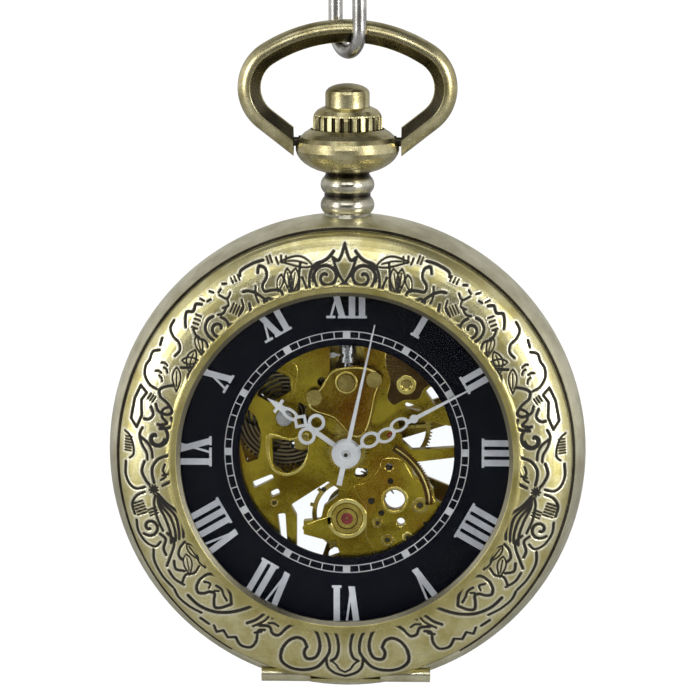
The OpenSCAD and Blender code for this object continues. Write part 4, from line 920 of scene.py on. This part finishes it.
# Painted shadow: a thin near-black arc on the band's front where the cover meets it, leaving out the hinge.
seam = [tuple(spot(a, r)) for r, row in ((22.52, range(-150, 151, 2)), (22.24,
                                                                        range(150, -151, -2)))
        for a in row]
relief("seam_shadow_arc", [seam], SEAM_FACE, 0.04, "dark", 0.012)
relief("jewel_arm", [closed([(-1.7, -7.4), (-3.9, -8.3), (-4.3, -8.0), (-4.2, -7.5),
                             (-1.6, -6.6)])], FACE, 0.12, "plate")

# ---------------------------------------------------------------- stage
def stage_white():
    """A studio floor: evenly white and faintly glossy to the view; grey to the metal, and glowing towards its sides as
    a light for it.
    """
    g = Graph("stage_white")
    out = [n for n in g.t.nodes if n.type == "OUTPUT_MATERIAL"][0]
    tone = g.ramp(g.noise(3.0, 1.0), 0.3, 0.7, 0.50, 0.54)
    col = g.add("ShaderNodeCombineColor")
    for i in range(3):
        g.link(tone, col.inputs[i])
    g.set(Base_Color=col.outputs[0], Roughness=0.6)
    wing = g.ramp(g.math("ABSOLUTE", g.axes()[0]), 0.08, 0.5, 0.0, 0.55)
    g.bsdf.inputs["Emission Color"].default_value = (1.0, 1.0, 1.0, 1.0)
    g.link(g.math("MINIMUM", wing, 0.55), g.bsdf.inputs["Emission Strength"])
    glow = g.add("ShaderNodeEmission")
    shine = g.add("ShaderNodeBsdfGlossy")
    shine.inputs["Roughness"].default_value = 0.06
    seen = g.add("ShaderNodeMixShader")
    seen.inputs[0].default_value = 0.1
    glow.inputs["Strength"].default_value = 1.14
    g.link(glow.outputs[0], seen.inputs[1])
    g.link(shine.outputs[0], seen.inputs[2])
    mix = g.add("ShaderNodeMixShader")
    g.link(g.add("ShaderNodeLightPath").outputs["Is Camera Ray"], mix.inputs[0])
    g.link(g.bsdf.outputs[0], mix.inputs[1])
    g.link(seen.outputs[0], mix.inputs[2])
    g.link(mix.outputs[0], out.inputs[0])
    return g.mat


def floor():
    """A broad disc under the hanging watch, with a soft edge roll."""
    n, z = 64, -0.0862
    rings = [(0.0, z), (0.4, z), (1.2, z), (2.2, z - 0.002), (2.4, z - 0.02)]
    turns = [2 * math.pi * i / n for i in range(n)]
    verts = [(r * math.sin(t), r * math.cos(t), h) for r, h in rings[1:] for t in turns]
    verts.append((0, 0, z))
    faces = [(len(verts) - 1, i, (i + 1) % n) for i in range(n)]
    for k in range(len(rings) - 2):
        faces += [(k * n + i, (k + 1) * n + i, (k + 1) * n + (i + 1) % n, k * n + (i + 1) % n)
                  for i in range(n)]
    return plain_mesh("stage_floor", verts, faces, stage_white())


floor()


def studio():
    """White surroundings for the view, dimmer ones for what metal mirrors."""
    world = bpy.data.worlds.new("studio")
    scene.world = world
    world.use_nodes = True
    t = world.node_tree
    dim, floor_level = t.nodes["Background"], 0.04
    white = t.nodes.new("ShaderNodeBackground")
    white.inputs[0].default_value = (1.0, 1.0, 1.0, 1.0)
    white.inputs[1].default_value = 1.0
    co = t.nodes.new("ShaderNodeTexCoord")
    sep = t.nodes.new("ShaderNodeSeparateXYZ")
    t.links.new(co.outputs["Generated"], sep.inputs[0])

    def soft_step(value, lo, hi, top):
        ramp = t.nodes.new("ShaderNodeMapRange")
        ramp.interpolation_type = "SMOOTHSTEP"
        ramp.inputs["From Min"].default_value = lo
        ramp.inputs["From Max"].default_value = hi
        ramp.inputs["To Min"].default_value = floor_level
        ramp.inputs["To Max"].default_value = top
        t.links.new(value, ramp.inputs["Value"])
        return ramp.outputs[0]

    def two(op, a, b=None):
        n = t.nodes.new("ShaderNodeMath")
        n.operation = op
        t.links.new(a, n.inputs[0])
        if b:
            t.links.new(b, n.inputs[1])
        return n.outputs[0]

    sides = soft_step(two("ABSOLUTE", sep.outputs[0]), 0.35, 0.95, 0.85)
    back = soft_step(sep.outputs[1], -0.2, 0.8, 0.5)
    dim.inputs[0].default_value = (1.0, 0.99, 0.97, 1.0)
    t.links.new(two("MAXIMUM", sides, back), dim.inputs[1])
    path = t.nodes.new("ShaderNodeLightPath")
    mix = t.nodes.new("ShaderNodeMixShader")
    t.links.new(path.outputs["Is Camera Ray"], mix.inputs[0])
    t.links.new(dim.outputs[0], mix.inputs[1])
    t.links.new(white.outputs[0], mix.inputs[2])
    t.links.new(mix.outputs[0], t.nodes["World Output"].inputs[0])


studio()
scene.view_settings.view_transform = "Standard"

WATCH = Vector((0, 0, -EYE * MM))


def softbox(name, at, w, h, watts):
    """A rectangular light at a place seen from the case, facing it."""
    d = bpy.data.lights.new(name, "AREA")
    d.shape = "RECTANGLE"
    d.size, d.size_y, d.energy = w, h, watts
    o = bpy.data.objects.new(name, d)
    scene.collection.objects.link(o)
    o.location = WATCH + Vector(at)
    o.rotation_euler = (WATCH - o.location).to_track_quat("-Z", "Y").to_euler()


softbox("left", (-0.46, -0.38, 0.08), 0.24, 0.5, 1.7)
softbox("right", (0.46, -0.40, 0.05), 0.22, 0.5, 2.9)
softbox("top", (-0.06, -0.22, 0.50), 0.4, 0.16, 0.35)
softbox("front", (0.0, -0.50, 0.36), 0.5, 0.10, 0.75)

# ---------------------------------------------------------------- camera
AZ, EL, FAR = math.radians(2.5), math.radians(8.0), 0.62
FRAME_PX, SENSOR = 700, 36.0
PX = 69.1 / FRAME_PX * MM  # one pixel of the picture at the watch, in metres
BESIDE, ABOVE = 2.5, 99  # the picture's centre from the case's, in pixels
toward = Vector((math.sin(AZ) * math.cos(EL), -math.cos(AZ) * math.cos(EL), math.sin(EL)))
right = Vector((math.cos(AZ), math.sin(AZ), 0))
up = Vector((-math.sin(AZ) * math.sin(EL), math.cos(AZ) * math.sin(EL), math.cos(EL)))
aim = WATCH + right * (BESIDE * PX) + up * (ABOVE * PX)
cam_data = bpy.data.cameras.new("camera")
cam_data.sensor_width = SENSOR
cam_data.lens = SENSOR * FAR / (FRAME_PX * PX)
cam_data.clip_start = 0.01
camera = bpy.data.objects.new("camera", cam_data)
scene.collection.objects.link(camera)
camera.location = aim + toward * FAR
camera.rotation_euler = (-toward).to_track_quat("-Z", "Y").to_euler()
scene.camera = camera
